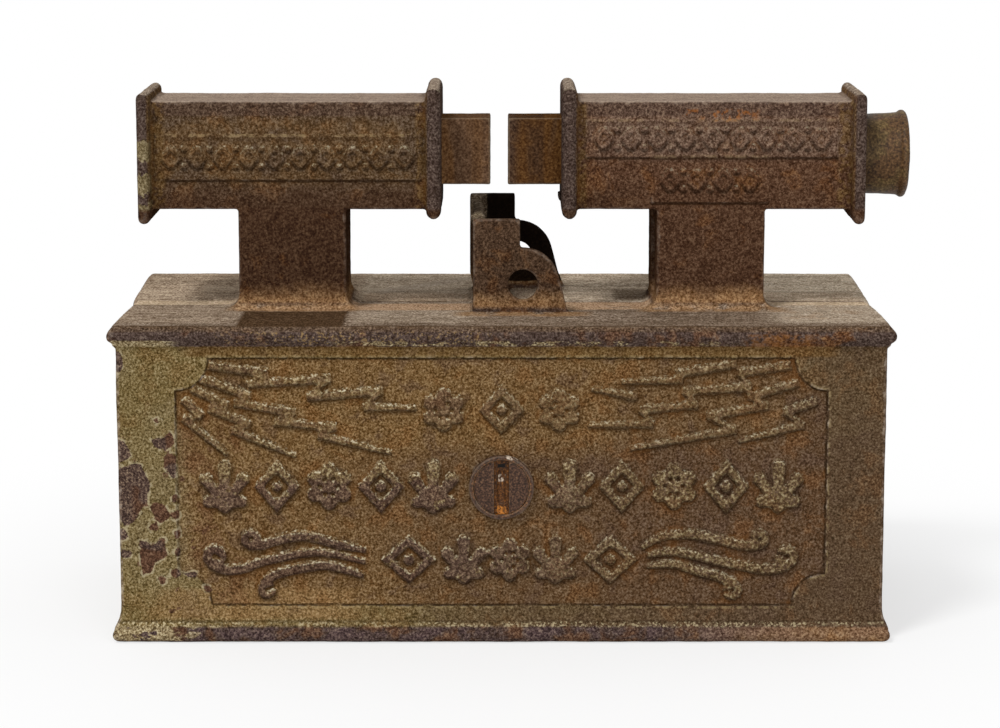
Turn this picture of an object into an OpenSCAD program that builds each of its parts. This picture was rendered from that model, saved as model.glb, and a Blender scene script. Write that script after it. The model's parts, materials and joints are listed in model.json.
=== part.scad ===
// Cast iron mechanical bank with a sight tube that seems to look straight through a coin.
// Four mirrors carry the view down the left post, under the coin and up the right post.
// The coin stands in the gap of the tube, between two ears, and drops through a slot into the base.
// Origin: middle of the underside, on the seam between the halves. +X right, +Y back, +Z up.

/* [Base] */
// Length of the base over its mouldings
base_len = 190.6; // [180:0.2:205]
// Depth of the base over its mouldings
base_dep = 89; // [84:0.5:100]
// Height of the base
base_h = 78.4; // [74:0.2:90]
// Thickness of the cast walls of the base
wall = 3; // [2.5:0.1:3.6]
// Thickness of the top plate
top_t = 3; // [2.5:0.1:4]
// How far the mouldings stand out from the walls
mould_out = 2; // [1.4:0.1:2.6]
// Height of the cap moulding under the top edge
cap_h = 4.9; // [4.4:0.1:6]
// Radius of the half round on the cap moulding
cap_r = 1.9; // [1.5:0.1:2.1]
// Height of the foot moulding
foot_h = 8.8; // [7:0.2:11]
// Radius of the round at the bottom of the foot
foot_r = 1.8; // [1.2:0.1:2.4]

/* [Front panel] */
// Length of the sunk panel on the front
panel_len = 158; // [140:1:164]
// Height of the sunk panel above the floor, at its lower edge
panel_low = 9.2; // [9:0.2:12]
// Height of the sunk panel above the floor, at its upper edge
panel_high = 70.6; // [66:0.2:71]
// How deep the panel is sunk
panel_deep = 0.6; // [0.3:0.1:0.9]
// Radius of the hollow quarter rounds that cut off the panel's corners
panel_notch = 8; // [5:0.5:10]

/* [Raised ornament] */
// How far the ornament stands out of the panel
relief_t = 1; // [0.6:0.1:1.4]
// Width of the lightning bolts
bolt_w = 2; // [1.4:0.1:2.4]
// Width of the scrolls
scroll_w = 2.4; // [1.8:0.1:2.8]
// Height of the lozenges and palmettes of the middle row
motif_h = 13.2; // [10:0.1:14]
// Width of the lozenges and palmettes of the middle row
motif_w = 11.2; // [9:0.1:12]
// Width of the lozenges' strokes
lozenge_w = 2; // [1.6:0.1:2.4]
// Reach of a rosette from its middle
rosette_r = 6; // [4.5:0.1:6.4]
// Distance of the middle row's first ornaments from the lock's axis
row_first = 16.6; // [15.5:0.1:19]
// Distance from one ornament of the middle row to the next
row_pitch = 12.7; // [12.2:0.1:13.4]
// Height of the upper row's middle under the panel's upper edge
upper_row_down = 12.8; // [11:0.1:14]
// Height of the lower row's middle above the panel's lower edge
lower_row_up = 11.3; // [10:0.1:13]
// How far the lower row lies to the right of the middle
lower_row_x = 2; // [0:0.1:3]
// Size of the upper and lower rows' ornaments as a share of the middle row's
short_row_share = 0.92; // [0.8:0.01:1]

/* [Tubes and posts] */
// Distance of each post's middle from the middle of the bank
post_x = 52.3; // [48:0.1:56]
// Width of a post
post_w = 26.9; // [24:0.1:30]
// Radius of the fillet at the foot of a post
post_fillet = 3.6; // [2:0.1:5]
// Height of the tubes' axis above the floor
tube_z = 116.35; // [114:0.05:122]
// Height of a tube
tube_h = 26.9; // [24:0.1:29]
// Depth of the tubes and posts
tube_dep = 24; // [22:0.2:27]
// Wall of the tubes and posts
tube_wall = 2.4; // [2:0.1:3]
// Depth of the flanges, front to back
flange_dep = 33; // [30:0.5:36]
// Height of the flanges
flange_h = 32.5; // [31:0.1:36]
// How far the outer flanges' faces lie inside the ends of the base
flange_back = 4.9; // [2:0.1:8]
// Thickness of an outer flange
flange_t = 3.2; // [2.6:0.1:4]
// Height of the outer flanges' middle above the floor
flange_z = 115.9; // [115:0.05:117.5]
// Face of an inner flange that looks to the coin gap
inner_flange_x = 15; // [13:0.1:17]
// Thickness of an inner flange
inner_flange_t = 3.8; // [3:0.1:4.6]
// Height of the inner flanges' middle above the floor
inner_flange_z = 117.2; // [115:0.05:118]

/* [Sight sleeves] */
// Depth of a sight sleeve
sleeve_dep = 12.4; // [10:0.1:15]
// Height of a sight sleeve
sleeve_h = 16.7; // [14:0.1:19]
// Wall of a sight sleeve
sleeve_wall = 1.6; // [1.2:0.1:2.4]
// Height of the sleeves' axis above the floor
sleeve_z = 116.8; // [116:0.05:118]
// How far a sleeve reaches into its tube behind the flange
sleeve_seat = 3.5; // [2:0.1:4]

/* [Coin] */
// Middle of the coin gap
coin_x = -0.6; // [-2:0.1:1]
// Width of the gap between the sleeves
coin_gap = 4.4; // [4.2:0.1:6]
// Width of the slot in the top plate
slot_w = 5.6; // [5:0.1:6.4]

/* [Coin bracket] */
// Outer face of the front ear, in front of the seam
front_ear_y = 19.4; // [18:0.1:23]
// Outer face of the rear ear, behind the seam
rear_ear_y = 21.6; // [20:0.1:23]
// Thickness of the ears
ear_t = 2.2; // [1.8:0.1:2.8]
// Left edge of the ears, from the middle of the coin gap
ear_left = 6.5; // [5.6:0.1:8]
// Right edge of the ears' upright part, from the middle of the coin gap
ear_right = 5.2; // [4:0.1:7]
// Thickness of the web that joins the ears on the left
web_t = 2.6; // [1.6:0.1:2.8]
// Height of the front ear's top above the floor
ear_top = 101.4; // [98:0.1:103]
// How much higher the rear ear stands
rear_ear_rise = 1; // [0:0.1:1.4]
// Pivot bore of the coin lever, from the middle of the coin gap
pivot_x = 5.9; // [5:0.1:7]
// Height of the pivot bore above the top plate
pivot_rise = 6.7; // [6:0.1:9]
// Radius of the pivot bore
pivot_r = 3.65; // [2.5:0.05:4]
// Radius of the ears' round about the pivot bore
ear_round = 9.1; // [8:0.1:10]
// How far the ears' foot reaches to the right of the middle of the coin gap
ear_foot = 17.2; // [16.5:0.1:18.5]

/* [Eyepiece] */
// Height of the eyepiece's axis above the floor
eye_z = 115.6; // [115:0.05:117]
// Length of the eyepiece outside the flange
eye_len = 11.5; // [8:0.1:15]
// Radius of the eyepiece where it leaves the flange
eye_neck_r = 9.9; // [9:0.1:10.4]
// Radius of the eyepiece's rim
eye_rim_r = 11; // [10.6:0.1:13]
// Wall of the eyepiece
eye_wall = 1.5; // [1:0.1:2]
// Radius of the spigot that seats in the end wall
eye_spigot_r = 8.9; // [8:0.1:9.3]

/* [Mirrors and light duct] */
// Thickness of the mirror glass
mirror_t = 2; // [1.5:0.1:3]
// Height of the ribs that hold the upper mirrors
mirror_rib = 1.3; // [0.8:0.1:2]
// Thickness of the tinplate of the duct and the coin chute
tin_t = 0.8; // [0.6:0.1:1.2]
// Height of the duct's lower run above the floor, at its middle
run_z = 20.2; // [19.5:0.1:22]
// Height inside the duct's lower run
run_h = 20.4; // [18:0.1:22]
// Width of the lip round the duct's cover
lip_w = 2.4; // [2:0.1:4]
// Width of the tabs that hang the duct and the chute
tab_w = 8; // [7:0.1:9]
// Radius of the small screws' shanks
small_r = 1.4; // [1.1:0.05:1.6]
// Height of the pads under the top plate
pad_h = 2; // [1.5:0.1:3]

/* [Coin chute] */
// Front end of the chute, in front of the seam
chute_front = 21.2; // [21.2:0.1:23]
// Rear end of the chute's floor, behind the seam
chute_back = 16; // [14:0.1:18]
// Height of the side walls over the sloping floor, measured upright
chute_side = 22; // [16:0.5:26]

/* [Lock] */
// Height of the lock's axis above the floor
lock_z = 38.8; // [36:0.1:42]
// Radius of the lock's rim
lock_rim_r = 7.9; // [7.6:0.1:8.6]
// How far the rim stands out from the sunk panel
lock_rim_t = 1.8; // [1:0.1:2.5]
// Radius of the lock's barrel
barrel_r = 7.3; // [7.1:0.05:7.5]
// Length of the barrel behind the panel
barrel_len = 17.4; // [14:0.1:18.5]
// Radius of the plug's face
plug_face_r = 6.75; // [6.3:0.05:6.8]
// Radius of the plug inside the barrel
plug_r = 5; // [4:0.1:5.6]
// Width of the groove in the plug's face
key_groove_w = 3.6; // [3:0.1:4]
// Width of the key slot
key_slot_w = 2; // [1.4:0.1:2.4]
// Radius of the ring nut behind the wall
nut_r = 10; // [9.5:0.1:10.4]
// Length of the cam from the lock's axis
cam_len = 15; // [13:0.1:16]
// Width of the cam
cam_w = 6; // [5:0.1:7]
// Thickness of the cam
cam_t = 2; // [1.5:0.1:2.4]

/* [Base plate] */
// Thickness of the base plate
plate_t = 2.5; // [2:0.1:3]
// Height of the base plate's underside above the floor
plate_low = 0.5; // [0.3:0.1:1]
// Radius of the hinge pins
pin_r = 1.2; // [1:0.05:1.4]
// Outer radius of the hinge's knuckles
knuckle_r = 2.5; // [2.2:0.05:2.5]
// Length of one knuckle of the plate
knuckle_len = 5; // [4:0.1:8]
// Width of a hinge lug on the rear casting
lug_w = 6; // [5:0.1:8]
// Distance of the lugs from the middle of the bank
lug_x = 60; // [50:0.5:70]
// How far the hinge's axis lies in front of the rear wall's inner face
hinge_in = 3.3; // [3.2:0.05:4]
// Left face of the hasp's leg
hasp_x = 17; // [16.5:0.1:19]
// Thickness of the hasp's strip
hasp_t = 2; // [1.6:0.1:2.4]
// Width of the hasp's strip, front to back
hasp_w = 5; // [4:0.1:6]
// Length of the hasp's foot on the plate
hasp_foot = 14; // [12:0.1:18]

/* [Screws] */
// Distance of the case screws from the middle of the bank
case_screw_x = 82; // [78:0.1:84]
// Height of the upper case screws above the floor
case_screw_high = 66; // [60:0.1:68]
// Height of the lower case screws above the floor
case_screw_low = 16; // [14:0.1:20]
// Radius of the case screws' shanks
case_screw_r = 1.9; // [1.5:0.05:2.2]
// Distance of the tube screws from the middle of the bank
tube_screw_x = 29; // [27:0.1:31]
// Radius of the tube screws' shanks
tube_screw_r = 1.5; // [1.2:0.05:1.8]

/* [Fits] */
// Radial clearance of pins, screws and the lock's plug
run_gap = 0.05; // [0.02:0.01:0.08]
// Clearance of the pieces seated in the castings
seat_gap = 0.1; // [0.05:0.01:0.15]
// Clearance between the base plate and the walls
plate_gap = 0.5; // [0.3:0.1:0.8]

/* [Hidden] */

// Facets of a full circle where the form shows in a preview
$fn = 48;

// A little more than nothing, for cuts that run past a face
past = 1;

// Colours, as the photograph shows them
bronze = "#6e5830";
iron = "#4a3b30";
tin = "#8d8f90";
glass = "#c9d6dc";
brass = "#7d6a34";
steel = "#6b6660";

// The base
box_x = base_len / 2 - mould_out;
box_y = base_dep / 2 - mould_out;
in_x = box_x - wall;
in_y = box_y - wall;
ceiling_z = base_h - top_t;
cap_step = mould_out * 0.35;
cove_out = mould_out * 0.8;
cove_h = foot_h - 2 * foot_r;
cove_r = (cove_out * cove_out + cove_h * cove_h) / (2 * cove_out);

// Corners of the lightning bolts, from the panel's side edge inwards and from its upper edge down.
// Bars and thin jogs that lead back to the next bar take turns.
left_bolts = [
    [[8.3, 1.9], [22.5, 3.7], [17.6, 6.4], [37.5, 5.1], [31.9, 9.6], [50.1, 8.1], [45.7, 12], [58.2, 12.4]],
    [[6.3, 5.1], [18.1, 9.3], [14.2, 11.1], [28.9, 13.5], [23.8, 15.7], [38.8, 17.2], [34.4, 19], [52.1, 23.4]],
    [[4, 7.4], [12.7, 11.8], [8.1, 12.3], [18, 16.5], [13.6, 17.7], [29, 24.2]],
    [[1.8, 10], [6.3, 14.5], [1.9, 14.7], [12.5, 23.9]]
];
right_bolts = [
    [[2.5, 10.6], [10.5, 13.3], [5.8, 16.5], [21.5, 20.5]],
    [[7, 6.1], [19.3, 9.6], [14.4, 11.8], [29.2, 14.3], [22.1, 17.7], [47.8, 22.4]],
    [[9, 1.9], [21.8, 3.7], [18.6, 7.1], [35, 8.3], [31.4, 11.5], [45.4, 12.8], [42.2, 16.2], [58, 16.6]],
    [[22.1, 1.4], [36.8, 3.9], [35.1, 5.4], [49.8, 5.9]],
    [[46.2, 9.6], [57.3, 7.6]]
];
jog_share = 0.55;

// The scrolls: middle of the curl, its radius, where it opens in degrees, and the middle line of the tail.
// Places are measured from the panel's side edge inwards and from its lower edge up.
left_scrolls = [
    [[17.8, 16.4], 2.5, -10, [[17, 14.9], [20.5, 15], [24.5, 16.2], [31, 17.2], [39.5, 15], [45.9, 13.7]]],
    [[8.9, 12.2], 2.9, -25, [[7.8, 10.6], [11.3, 8.7], [16.2, 9.2], [20.9, 10.9], [34.1, 13.2], [45.8, 10.7]]],
    [[21.6, 3.8], 2.3, 20, [[20.8, 5.2], [24, 7.7], [34.6, 9.9], [40, 9], [45.3, 7.2]]]
];
right_scrolls = [
    [[16, 16.4], 2.3, 5, [[16.4, 15], [20, 14.9], [26.6, 16.5], [33.2, 17.7], [39.8, 17], [44.9, 14.2]]],
    [[9.3, 12], 2.9, 20, [[9, 9.9], [13.8, 8.9], [22.6, 10.2], [35.8, 13.2], [43.4, 12.5]]],
    [[22.5, 3.6], 2.4, -10, [[21.8, 5.2], [26.3, 7.2], [31.9, 8.7], [37, 10.2], [43.4, 9.7]]]
];
scroll_steps = 3;
curl_slit = 0.8;

// The tubes and posts
tube_y = tube_dep / 2;
bore_y = tube_y - tube_wall;
bore_x = post_w / 2 - tube_wall;
bore_z = tube_h / 2 - tube_wall;
tube_low = tube_z - tube_h / 2;
flange_out = base_len / 2 - flange_back;
tube_end = flange_out - flange_t / 2;
tube_start = inner_flange_x + inner_flange_t / 2;
end_wall_x = flange_out - 2 * flange_t;
inner_back_x = inner_flange_x + inner_flange_t;

// The sleeves on both sides of the coin gap
sleeve_left_end = coin_x - coin_gap / 2;
sleeve_right_end = coin_x + coin_gap / 2;
sleeve_deep_x = inner_back_x + sleeve_seat;

// The coin bracket, measured from the middle of the coin gap
bracket_left = coin_x - ear_left;
bracket_right = coin_x + ear_right;
bracket_foot = coin_x + ear_foot;
bore_at_x = coin_x + pivot_x;
bore_at_z = base_h + pivot_rise;
slot_front = front_ear_y - ear_t;
slot_back = rear_ear_y - ear_t;

// The eyepiece
eye_bore_r = eye_spigot_r - eye_wall;
eye_spigot_len = 2 * flange_t;

// Mirrors: the length that just fits the corner of a square passage
upper_mirror_len = 2 * (min(bore_x, bore_z) * sqrt(2) - mirror_t) - 2 * seat_gap;
lower_mirror_len = 2 * (min(bore_x, run_h / 2) * sqrt(2) - mirror_t) - 2 * seat_gap;
mirror_w = 2 * (bore_y - seat_gap);
rib_t = 1.2;

// The duct: its legs go on from the posts' bores
duct_top = ceiling_z - seat_gap;
duct_y = bore_y + tin_t;
duct_x = bore_x + tin_t;
tab_top = ceiling_z - pad_h - seat_gap;
tab_len = 9;
tab_hole = 4.5;
pad_r = 3.6;
pad_y = 5;
duct_tab_x = duct_x + tab_hole;
small_head_r = small_r * 1.9;
small_head_h = 1.2;
small_bite = pad_h + top_t * 0.6;

// The chute: its floor slopes down to the back and clears the duct's lower run
chute_x = slot_w / 2;
run_top = run_z + run_h / 2 + tin_t;
floor_sum = run_top + duct_y + 2 * seat_gap;
chute_tab_front = chute_front + tab_hole;
chute_tab_back = rear_ear_y + tab_hole;
chute_back_top = rear_ear_y;

// The lock, along Y
panel_y = box_y - panel_deep;
lock_front = panel_y + lock_rim_t;
barrel_back = panel_y - barrel_len;
face_depth = 3.2;
plug_front = lock_front - 0.3;
plug_step = plug_front - face_depth;
cam_y = barrel_back - 2 * seat_gap;
plug_back = cam_y;
nut_t = 3;
nut_slot_w = 2.5;
cam_square = 5;
cam_screw_r = 1.5;
cam_head_r = 3.2;
cam_head_t = 1.8;

// The base plate and its hinge
plate_top = plate_low + plate_t;
hinge_y = in_y - hinge_in;
hinge_z = plate_low + knuckle_r;
plate_back = hinge_y + 1.5;
plate_front = in_y - plate_gap;
lug_gap = 0.2;
notch_y = hinge_y - knuckle_r - 1;
pin_half = lug_w / 2 + lug_gap + knuckle_len;
pin_head_r = pin_r + 0.6;
pin_head_t = 0.6;
stop_x = 60;
stop_w = 8;
stop_in = 5;
stop_h = 6;

// The hasp: its hook lies over the cam when the lock is turned
hasp_front = cam_y + (hasp_w - cam_t) / 2;
hook_gap = 0.3;
hook_z = lock_z + cam_w / 2 + hook_gap;
hook_t = 2.3;
hook_tip = cam_len - 4.5;
rivet_r = 1.25;
rivet_head_r = 2.3;
rivet_head_h = 1.1;
rivet_at = [0.36, 0.8];

// The screws that close the case from behind
boss_r = 4;
seam_lug_w = 9;
seam_lug_front = 10;
seam_lug_back = 6;
case_head_r = 3.6;
head_h = 2;
tube_boss_r = 3.6;
tube_head_r = 3;

// A plane shape and its mirror image on the other side of the Y axis
module both_ways() {
    children();
    mirror([1, 0]) children();
}

// A shape of the X and Z plane, drawn out along Y
module along_y(from, to) {
    translate([0, to, 0]) rotate([90, 0, 0]) linear_extrude(to - from) children();
}

// A shape of the Y and Z plane, drawn out along X
module along_x(from, to) {
    translate([from, 0, 0]) rotate([90, 0, 90]) linear_extrude(to - from) children();
}

// A round bar along Y
module bar_y(r, from, to) {
    translate([0, to, 0]) rotate([90, 0, 0]) cylinder(r = r, h = to - from);
}

// A box given by its two corners
module box(low, high) {
    translate(low) cube(high - low);
}

// One half of the bank: side is -1 in front of the seam, 1 behind it
module half(side) {
    reach = base_dep;
    intersection() {
        children();
        translate([-base_len, side < 0 ? -reach : 0, -past]) cube([2 * base_len, reach, 2 * base_h]);
    }
}

// Section of the base with its cap and foot mouldings
module base_section(half_w) {
    both_ways() {
        square([half_w, base_h]);
        translate([0, base_h - cap_h]) square([half_w + cap_step, cap_h]);
        translate([half_w + mould_out - cap_r, base_h - cap_r - cap_step / 2]) circle(cap_r);
        difference() {
            translate([0, foot_r]) square([half_w + cove_out, foot_h - foot_r]);
            translate([half_w + cove_r, foot_h]) circle(cove_r, $fn = 96);
        }
        square([half_w + mould_out - foot_r, foot_r]);
        translate([half_w + mould_out - foot_r, foot_r]) circle(foot_r);
    }
}

// The base as a block: the mouldings run round all four sides and are mitred at the corners
module base_block() {
    intersection() {
        along_y(-base_dep, base_dep) base_section(box_x);
        along_x(-base_len, base_len) base_section(box_y);
    }
}

// Outline of the sunk panel, with hollow corners
module panel_outline() {
    difference() {
        translate([-panel_len / 2, panel_low]) square([panel_len, panel_high - panel_low]);
        for (s = [-1, 1]) for (z = [panel_low, panel_high]) translate([s * panel_len / 2, z]) circle(panel_notch);
    }
}

// Unit vector across the way from a to b
function across(a, b) = [a[1] - b[1], b[0] - a[0]] / norm(b - a);

// Corners of a bar from a to b, with its half widths there
function bar_corners(a, b, wa, wb) =
    let (n = across(a, b)) [a + wa * n, a - wa * n, b - wb * n, b + wb * n];

// A lightning bolt: its last bar runs out in a point
module bolt(corners) {
    last = len(corners) - 2;
    for (i = [0 : last]) {
        half_w = bolt_w / 2 * (i % 2 == 0 ? 1 : jog_share);
        polygon(bar_corners(corners[i], corners[i + 1], half_w, i == last ? half_w / 2 : half_w));
    }
}

// Point of a smooth curve through p, past its point i by the share t
function curve_point(p, i, t) =
    let (a = p[max(i - 1, 0)], b = p[i], c = p[i + 1], d = p[min(i + 2, len(p) - 1)])
    b + (t * (c - a) + t * t * (2 * a - 5 * b + 4 * c - d) + t * t * t * (3 * b - a - 3 * c + d)) / 2;

// Points along that curve
function curve(p, steps) =
    concat([for (i = [0 : len(p) - 2]) for (k = [0 : steps - 1]) curve_point(p, i, k / steps)], [p[len(p) - 1]]);

// A scroll: a curl with a slit to its hollow middle, and a tail that grows thinner
module scroll(middle, r, turn, tail) {
    translate(middle) difference() {
        circle(r);
        circle(r / 4);
        rotate(turn) translate([0, -curl_slit / 2]) square([2 * r, curl_slit]);
    }
    q = curve(tail, scroll_steps);
    last = len(q) - 1;
    n = [for (i = [0 : last]) across(q[max(i - 1, 0)], q[min(i + 1, last)])];
    w = [for (i = [0 : last]) scroll_w / 2 * (1 - pow(i / last, 4) / 2)];
    polygon(concat([for (i = [0 : last]) q[i] + w[i] * n[i]], [for (i = [last : -1 : 0]) q[i] - w[i] * n[i]]));
}

// A lozenge of one stroke round a boss
module lozenge(w, h) {
    difference() {
        polygon([[-w / 2, 0], [0, -h / 2], [w / 2, 0], [0, h / 2]]);
        inner = 1 - 2 * lozenge_w * norm([w, h]) / (w * h);
        polygon([[-w / 2, 0], [0, -h / 2], [w / 2, 0], [0, h / 2]] * inner);
    }
    circle(min(w, h) / 9);
}

// Six round petals about a boss
module rosette(r) {
    for (turn = [30 : 60 : 330]) rotate(turn) translate([0.66 * r, 0]) circle(0.31 * r);
    circle(0.26 * r);
}

// A drop that grows from the origin to a round end
module drop(l, w) {
    round_at = l - w / 2;
    polygon([[-w * 0.2, 0], [w * 0.2, 0], [w * 0.48, round_at], [-w * 0.48, round_at]]);
    translate([0, round_at]) circle(w / 2);
}

// A palmette: a fan of five drops over a boss
module palmette(w, h) {
    boss = h * 0.13;
    long = h - boss;
    translate([0, boss - h / 2]) {
        circle(boss);
        drop(long, 0.26 * h);
        for (s = [-1, 1]) {
            rotate(s * 34) drop(0.84 * long, 0.24 * h);
            rotate(s * 74) drop(0.5 * w, 0.22 * h);
        }
    }
}

// The bolts, at the panel's upper corners
module bolts() {
    for (p = left_bolts) translate([-panel_len / 2, panel_high]) mirror([0, 1]) bolt(p);
    for (p = right_bolts) translate([panel_len / 2, panel_high]) rotate(180) bolt(p);
}

// The scrolls, at its lower corners
module scrolls() {
    for (p = left_scrolls) translate([-panel_len / 2, panel_low]) scroll(p[0], p[1], p[2], p[3]);
    for (p = right_scrolls) translate([panel_len / 2, panel_low]) mirror([1, 0]) scroll(p[0], p[1], p[2], p[3]);
}

// The middle row, on both sides of the lock
module middle_row() {
    for (s = [-1, 1]) translate([s * row_first, lock_z]) {
        for (i = [0, 4]) translate([s * i * row_pitch, 0]) palmette(motif_w, motif_h);
        for (i = [1, 3]) translate([s * i * row_pitch, 0]) lozenge(motif_w, motif_h);
        translate([s * 2 * row_pitch, 0]) rosette(rosette_r);
    }
}

// The row above it
module upper_row() {
    translate([0, panel_high - upper_row_down]) {
        lozenge(motif_w, motif_h * short_row_share);
        for (s = [-1, 1]) translate([s * 1.25 * motif_w, 0]) rosette(rosette_r * short_row_share);
    }
}

// The row below it
module lower_row() {
    translate([lower_row_x, panel_low + lower_row_up]) {
        rosette(rosette_r * short_row_share);
        for (s = [-1, 1]) {
            translate([s * motif_w, 0]) palmette(motif_w * short_row_share, motif_h * short_row_share);
            translate([s * 2.2 * motif_w, 0]) lozenge(motif_w * 1.2, motif_h * short_row_share);
        }
    }
}

// All that is raised on the panel
module ornament() {
    low = -panel_y - relief_t;
    high = -panel_y + wall / 2;
    along_y(low, high) bolts();
    along_y(low, high) scrolls();
    along_y(low, high) upper_row();
    along_y(low, high) middle_row();
    along_y(low, high) lower_row();
}

// Section of a plate with half round rims
module rim_section(half_w, t) {
    square([2 * (half_w - t / 2), t], center = true);
    for (s = [-1, 1]) translate([s * (half_w - t / 2), 0]) circle(t / 2);
}

// A flange with half round rims, its middle plane at x
module flange(x, z, t) {
    translate([x, 0, z]) intersection() {
        along_y(-flange_dep, flange_dep) rotate(90) rim_section(flange_h / 2, t);
        translate([0, 0, -flange_h]) linear_extrude(2 * flange_h) rotate(90) rim_section(flange_dep / 2, t);
    }
}

// Section of a post's flared foot
module flare_section(half_w) {
    both_ways() difference() {
        square([half_w + post_fillet, post_fillet]);
        translate([half_w + post_fillet, post_fillet]) circle(post_fillet);
    }
}

// The flared foot, standing on the top plate
module post_flare(x) {
    translate([x, 0, base_h]) intersection() {
        along_y(-tube_dep, tube_dep) flare_section(post_w / 2);
        along_x(-post_w, post_w) flare_section(tube_y);
    }
}

// One tube with its post and flanges, solid
module arm(s) {
    box([s * post_x - post_w / 2, -tube_y, ceiling_z], [s * post_x + post_w / 2, tube_y, tube_z]);
    post_flare(s * post_x);
    box([min(s * tube_start, s * tube_end), -tube_y, tube_low],
        [max(s * tube_start, s * tube_end), tube_y, tube_low + tube_h]);
    flange(s * (flange_out - flange_t / 2), flange_z, flange_t);
    flange(s * (inner_flange_x + inner_flange_t / 2), inner_flange_z, inner_flange_t);
}

// The passage inside one arm, from the tube down through the top plate
module arm_bore(s) {
    box([s * post_x - bore_x, -bore_y, ceiling_z - past], [s * post_x + bore_x, bore_y, tube_z + bore_z]);
    near = s * inner_back_x;
    far = s < 0 ? -flange_out - past : end_wall_x;
    box([min(near, far), -bore_y, tube_z - bore_z], [max(near, far), bore_y, tube_z + bore_z]);
}

// Outline of an ear: an upright, a round about the pivot bore and a slanted foot
module ear_outline(top) {
    dx = bracket_foot - bore_at_x;
    dz = base_h - bore_at_z;
    touch = atan2(dz, dx) + acos(ear_round / norm([dx, dz]));
    translate([bracket_left, ceiling_z]) square([bracket_right - bracket_left, top - ceiling_z]);
    translate([bore_at_x, bore_at_z]) circle(ear_round);
    polygon([
        [bracket_left, ceiling_z],
        [bracket_foot, ceiling_z],
        [bracket_foot, base_h],
        [bore_at_x + ear_round * cos(touch), bore_at_z + ear_round * sin(touch)],
        [bore_at_x, bore_at_z],
        [bracket_left, bore_at_z]
    ]);
}

// The coin bracket: two ears joined by a web on the left
module coin_bracket() {
    intersection() {
        union() {
            along_y(-front_ear_y, -front_ear_y + ear_t) ear_outline(ear_top);
            along_y(rear_ear_y - ear_t, rear_ear_y) ear_outline(ear_top + rear_ear_rise);
            box([bracket_left, -front_ear_y, ceiling_z], [bracket_left + web_t, rear_ear_y, ear_top]);
        }
        box([-base_len, -base_dep, ceiling_z], [base_len, base_dep, 2 * base_h]);
    }
}

// The hollow iron body of the bank, both halves as one
module shell() {
    difference() {
        union() {
            base_block();
            for (s = [-1, 1]) arm(s);
            coin_bracket();
        }
        box([-in_x, -in_y, -past], [in_x, in_y, ceiling_z]);
        for (s = [-1, 1]) arm_bore(s);
        box([coin_x - slot_w / 2, -slot_front, ceiling_z - past], [coin_x + slot_w / 2, slot_back, base_h + past]);
        translate([bore_at_x, 0, bore_at_z]) bar_y(pivot_r, -base_dep / 2, base_dep / 2);
        sleeve_cut = [sleeve_deep_x + past, sleeve_dep / 2 + seat_gap, sleeve_h / 2 + seat_gap];
        translate([0, 0, sleeve_z]) box(-sleeve_cut, sleeve_cut);
        translate([end_wall_x - past, 0, eye_z]) rotate([0, 90, 0]) {
            cylinder(r = eye_spigot_r + seat_gap, h = 3 * flange_t);
        }
    }
}

// Where a mirror stands: its silvered face looks along the local Z axis
module at_mirror(x, z, turn) {
    translate([x, 0, z]) rotate([0, turn, 0]) children();
}

// Ribs on the inner walls of a tube that hold an upper mirror between them
module mirror_ribs(x, turn) {
    rib_len = upper_mirror_len - 4;
    at_mirror(x, tube_z, turn)
        for (side = [-1, 1]) for (z = [seat_gap, -mirror_t - seat_gap - rib_t])
            translate([-rib_len / 2, side < 0 ? -bore_y - past : bore_y - mirror_rib, z])
                cube([rib_len, mirror_rib + past, rib_t]);
}

// Round pad under the top plate for a small screw
module pad(x, y) {
    translate([x, y, ceiling_z - pad_h]) cylinder(r = pad_r, h = pad_h + top_t / 2);
}

// Blind hole for a small screw, up through a pad
module pad_hole(x, y) {
    translate([x, y, ceiling_z - pad_h - past]) cylinder(r = small_r + run_gap, h = small_bite + past);
}

// Lugs on the end walls, at the seam, that the case screws pull together
module seam_lugs(from, to) {
    for (s = [-1, 1]) for (z = [case_screw_low, case_screw_high])
        box([s < 0 ? -in_x - past : case_screw_x - seam_lug_w / 2, from, z - seam_lug_w / 2],
            [s < 0 ? -case_screw_x + seam_lug_w / 2 : in_x + past, to, z + seam_lug_w / 2]);
}

// Round bars along Y at the four case screws
module at_case_screws(r, from, to) {
    for (s = [-1, 1]) for (z = [case_screw_low, case_screw_high])
        translate([s * case_screw_x, 0, z]) bar_y(r, from, to);
}

// Round bars along Y at the two tube screws
module at_tube_screws(r, from, to) {
    for (s = [-1, 1]) translate([s * tube_screw_x, 0, tube_z]) bar_y(r, from, to);
}

// Front half of the bank: front wall, front of the posts and tubes, front ear
module front_casting() {
    color(bronze) difference() {
        union() {
            difference() {
                half(-1) shell();
                along_y(-base_dep, -panel_y) panel_outline();
            }
            ornament();
            half(-1) mirror_ribs(-post_x, 225);
            half(-1) mirror_ribs(post_x, 135);
            seam_lugs(-seam_lug_front, 0);
            at_tube_screws(tube_boss_r, -bore_y - past, 0);
            for (s = [-1, 1]) pad(s * (post_x + duct_tab_x), -pad_y);
            pad(coin_x, -chute_tab_front);
            for (s = [-1, 1])
                box([s * stop_x - stop_w / 2, -in_y - past, plate_top + seat_gap],
                    [s * stop_x + stop_w / 2, -in_y + stop_in, plate_top + stop_h]);
        }
        translate([0, 0, lock_z]) bar_y(barrel_r + run_gap, -base_dep, -in_y + past);
        at_case_screws(case_screw_r + run_gap, -seam_lug_front - past, past);
        at_tube_screws(tube_screw_r + run_gap, -bore_y, past);
        for (s = [-1, 1]) pad_hole(s * (post_x + duct_tab_x), -pad_y);
        pad_hole(coin_x, -chute_tab_front);
    }
}

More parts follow.
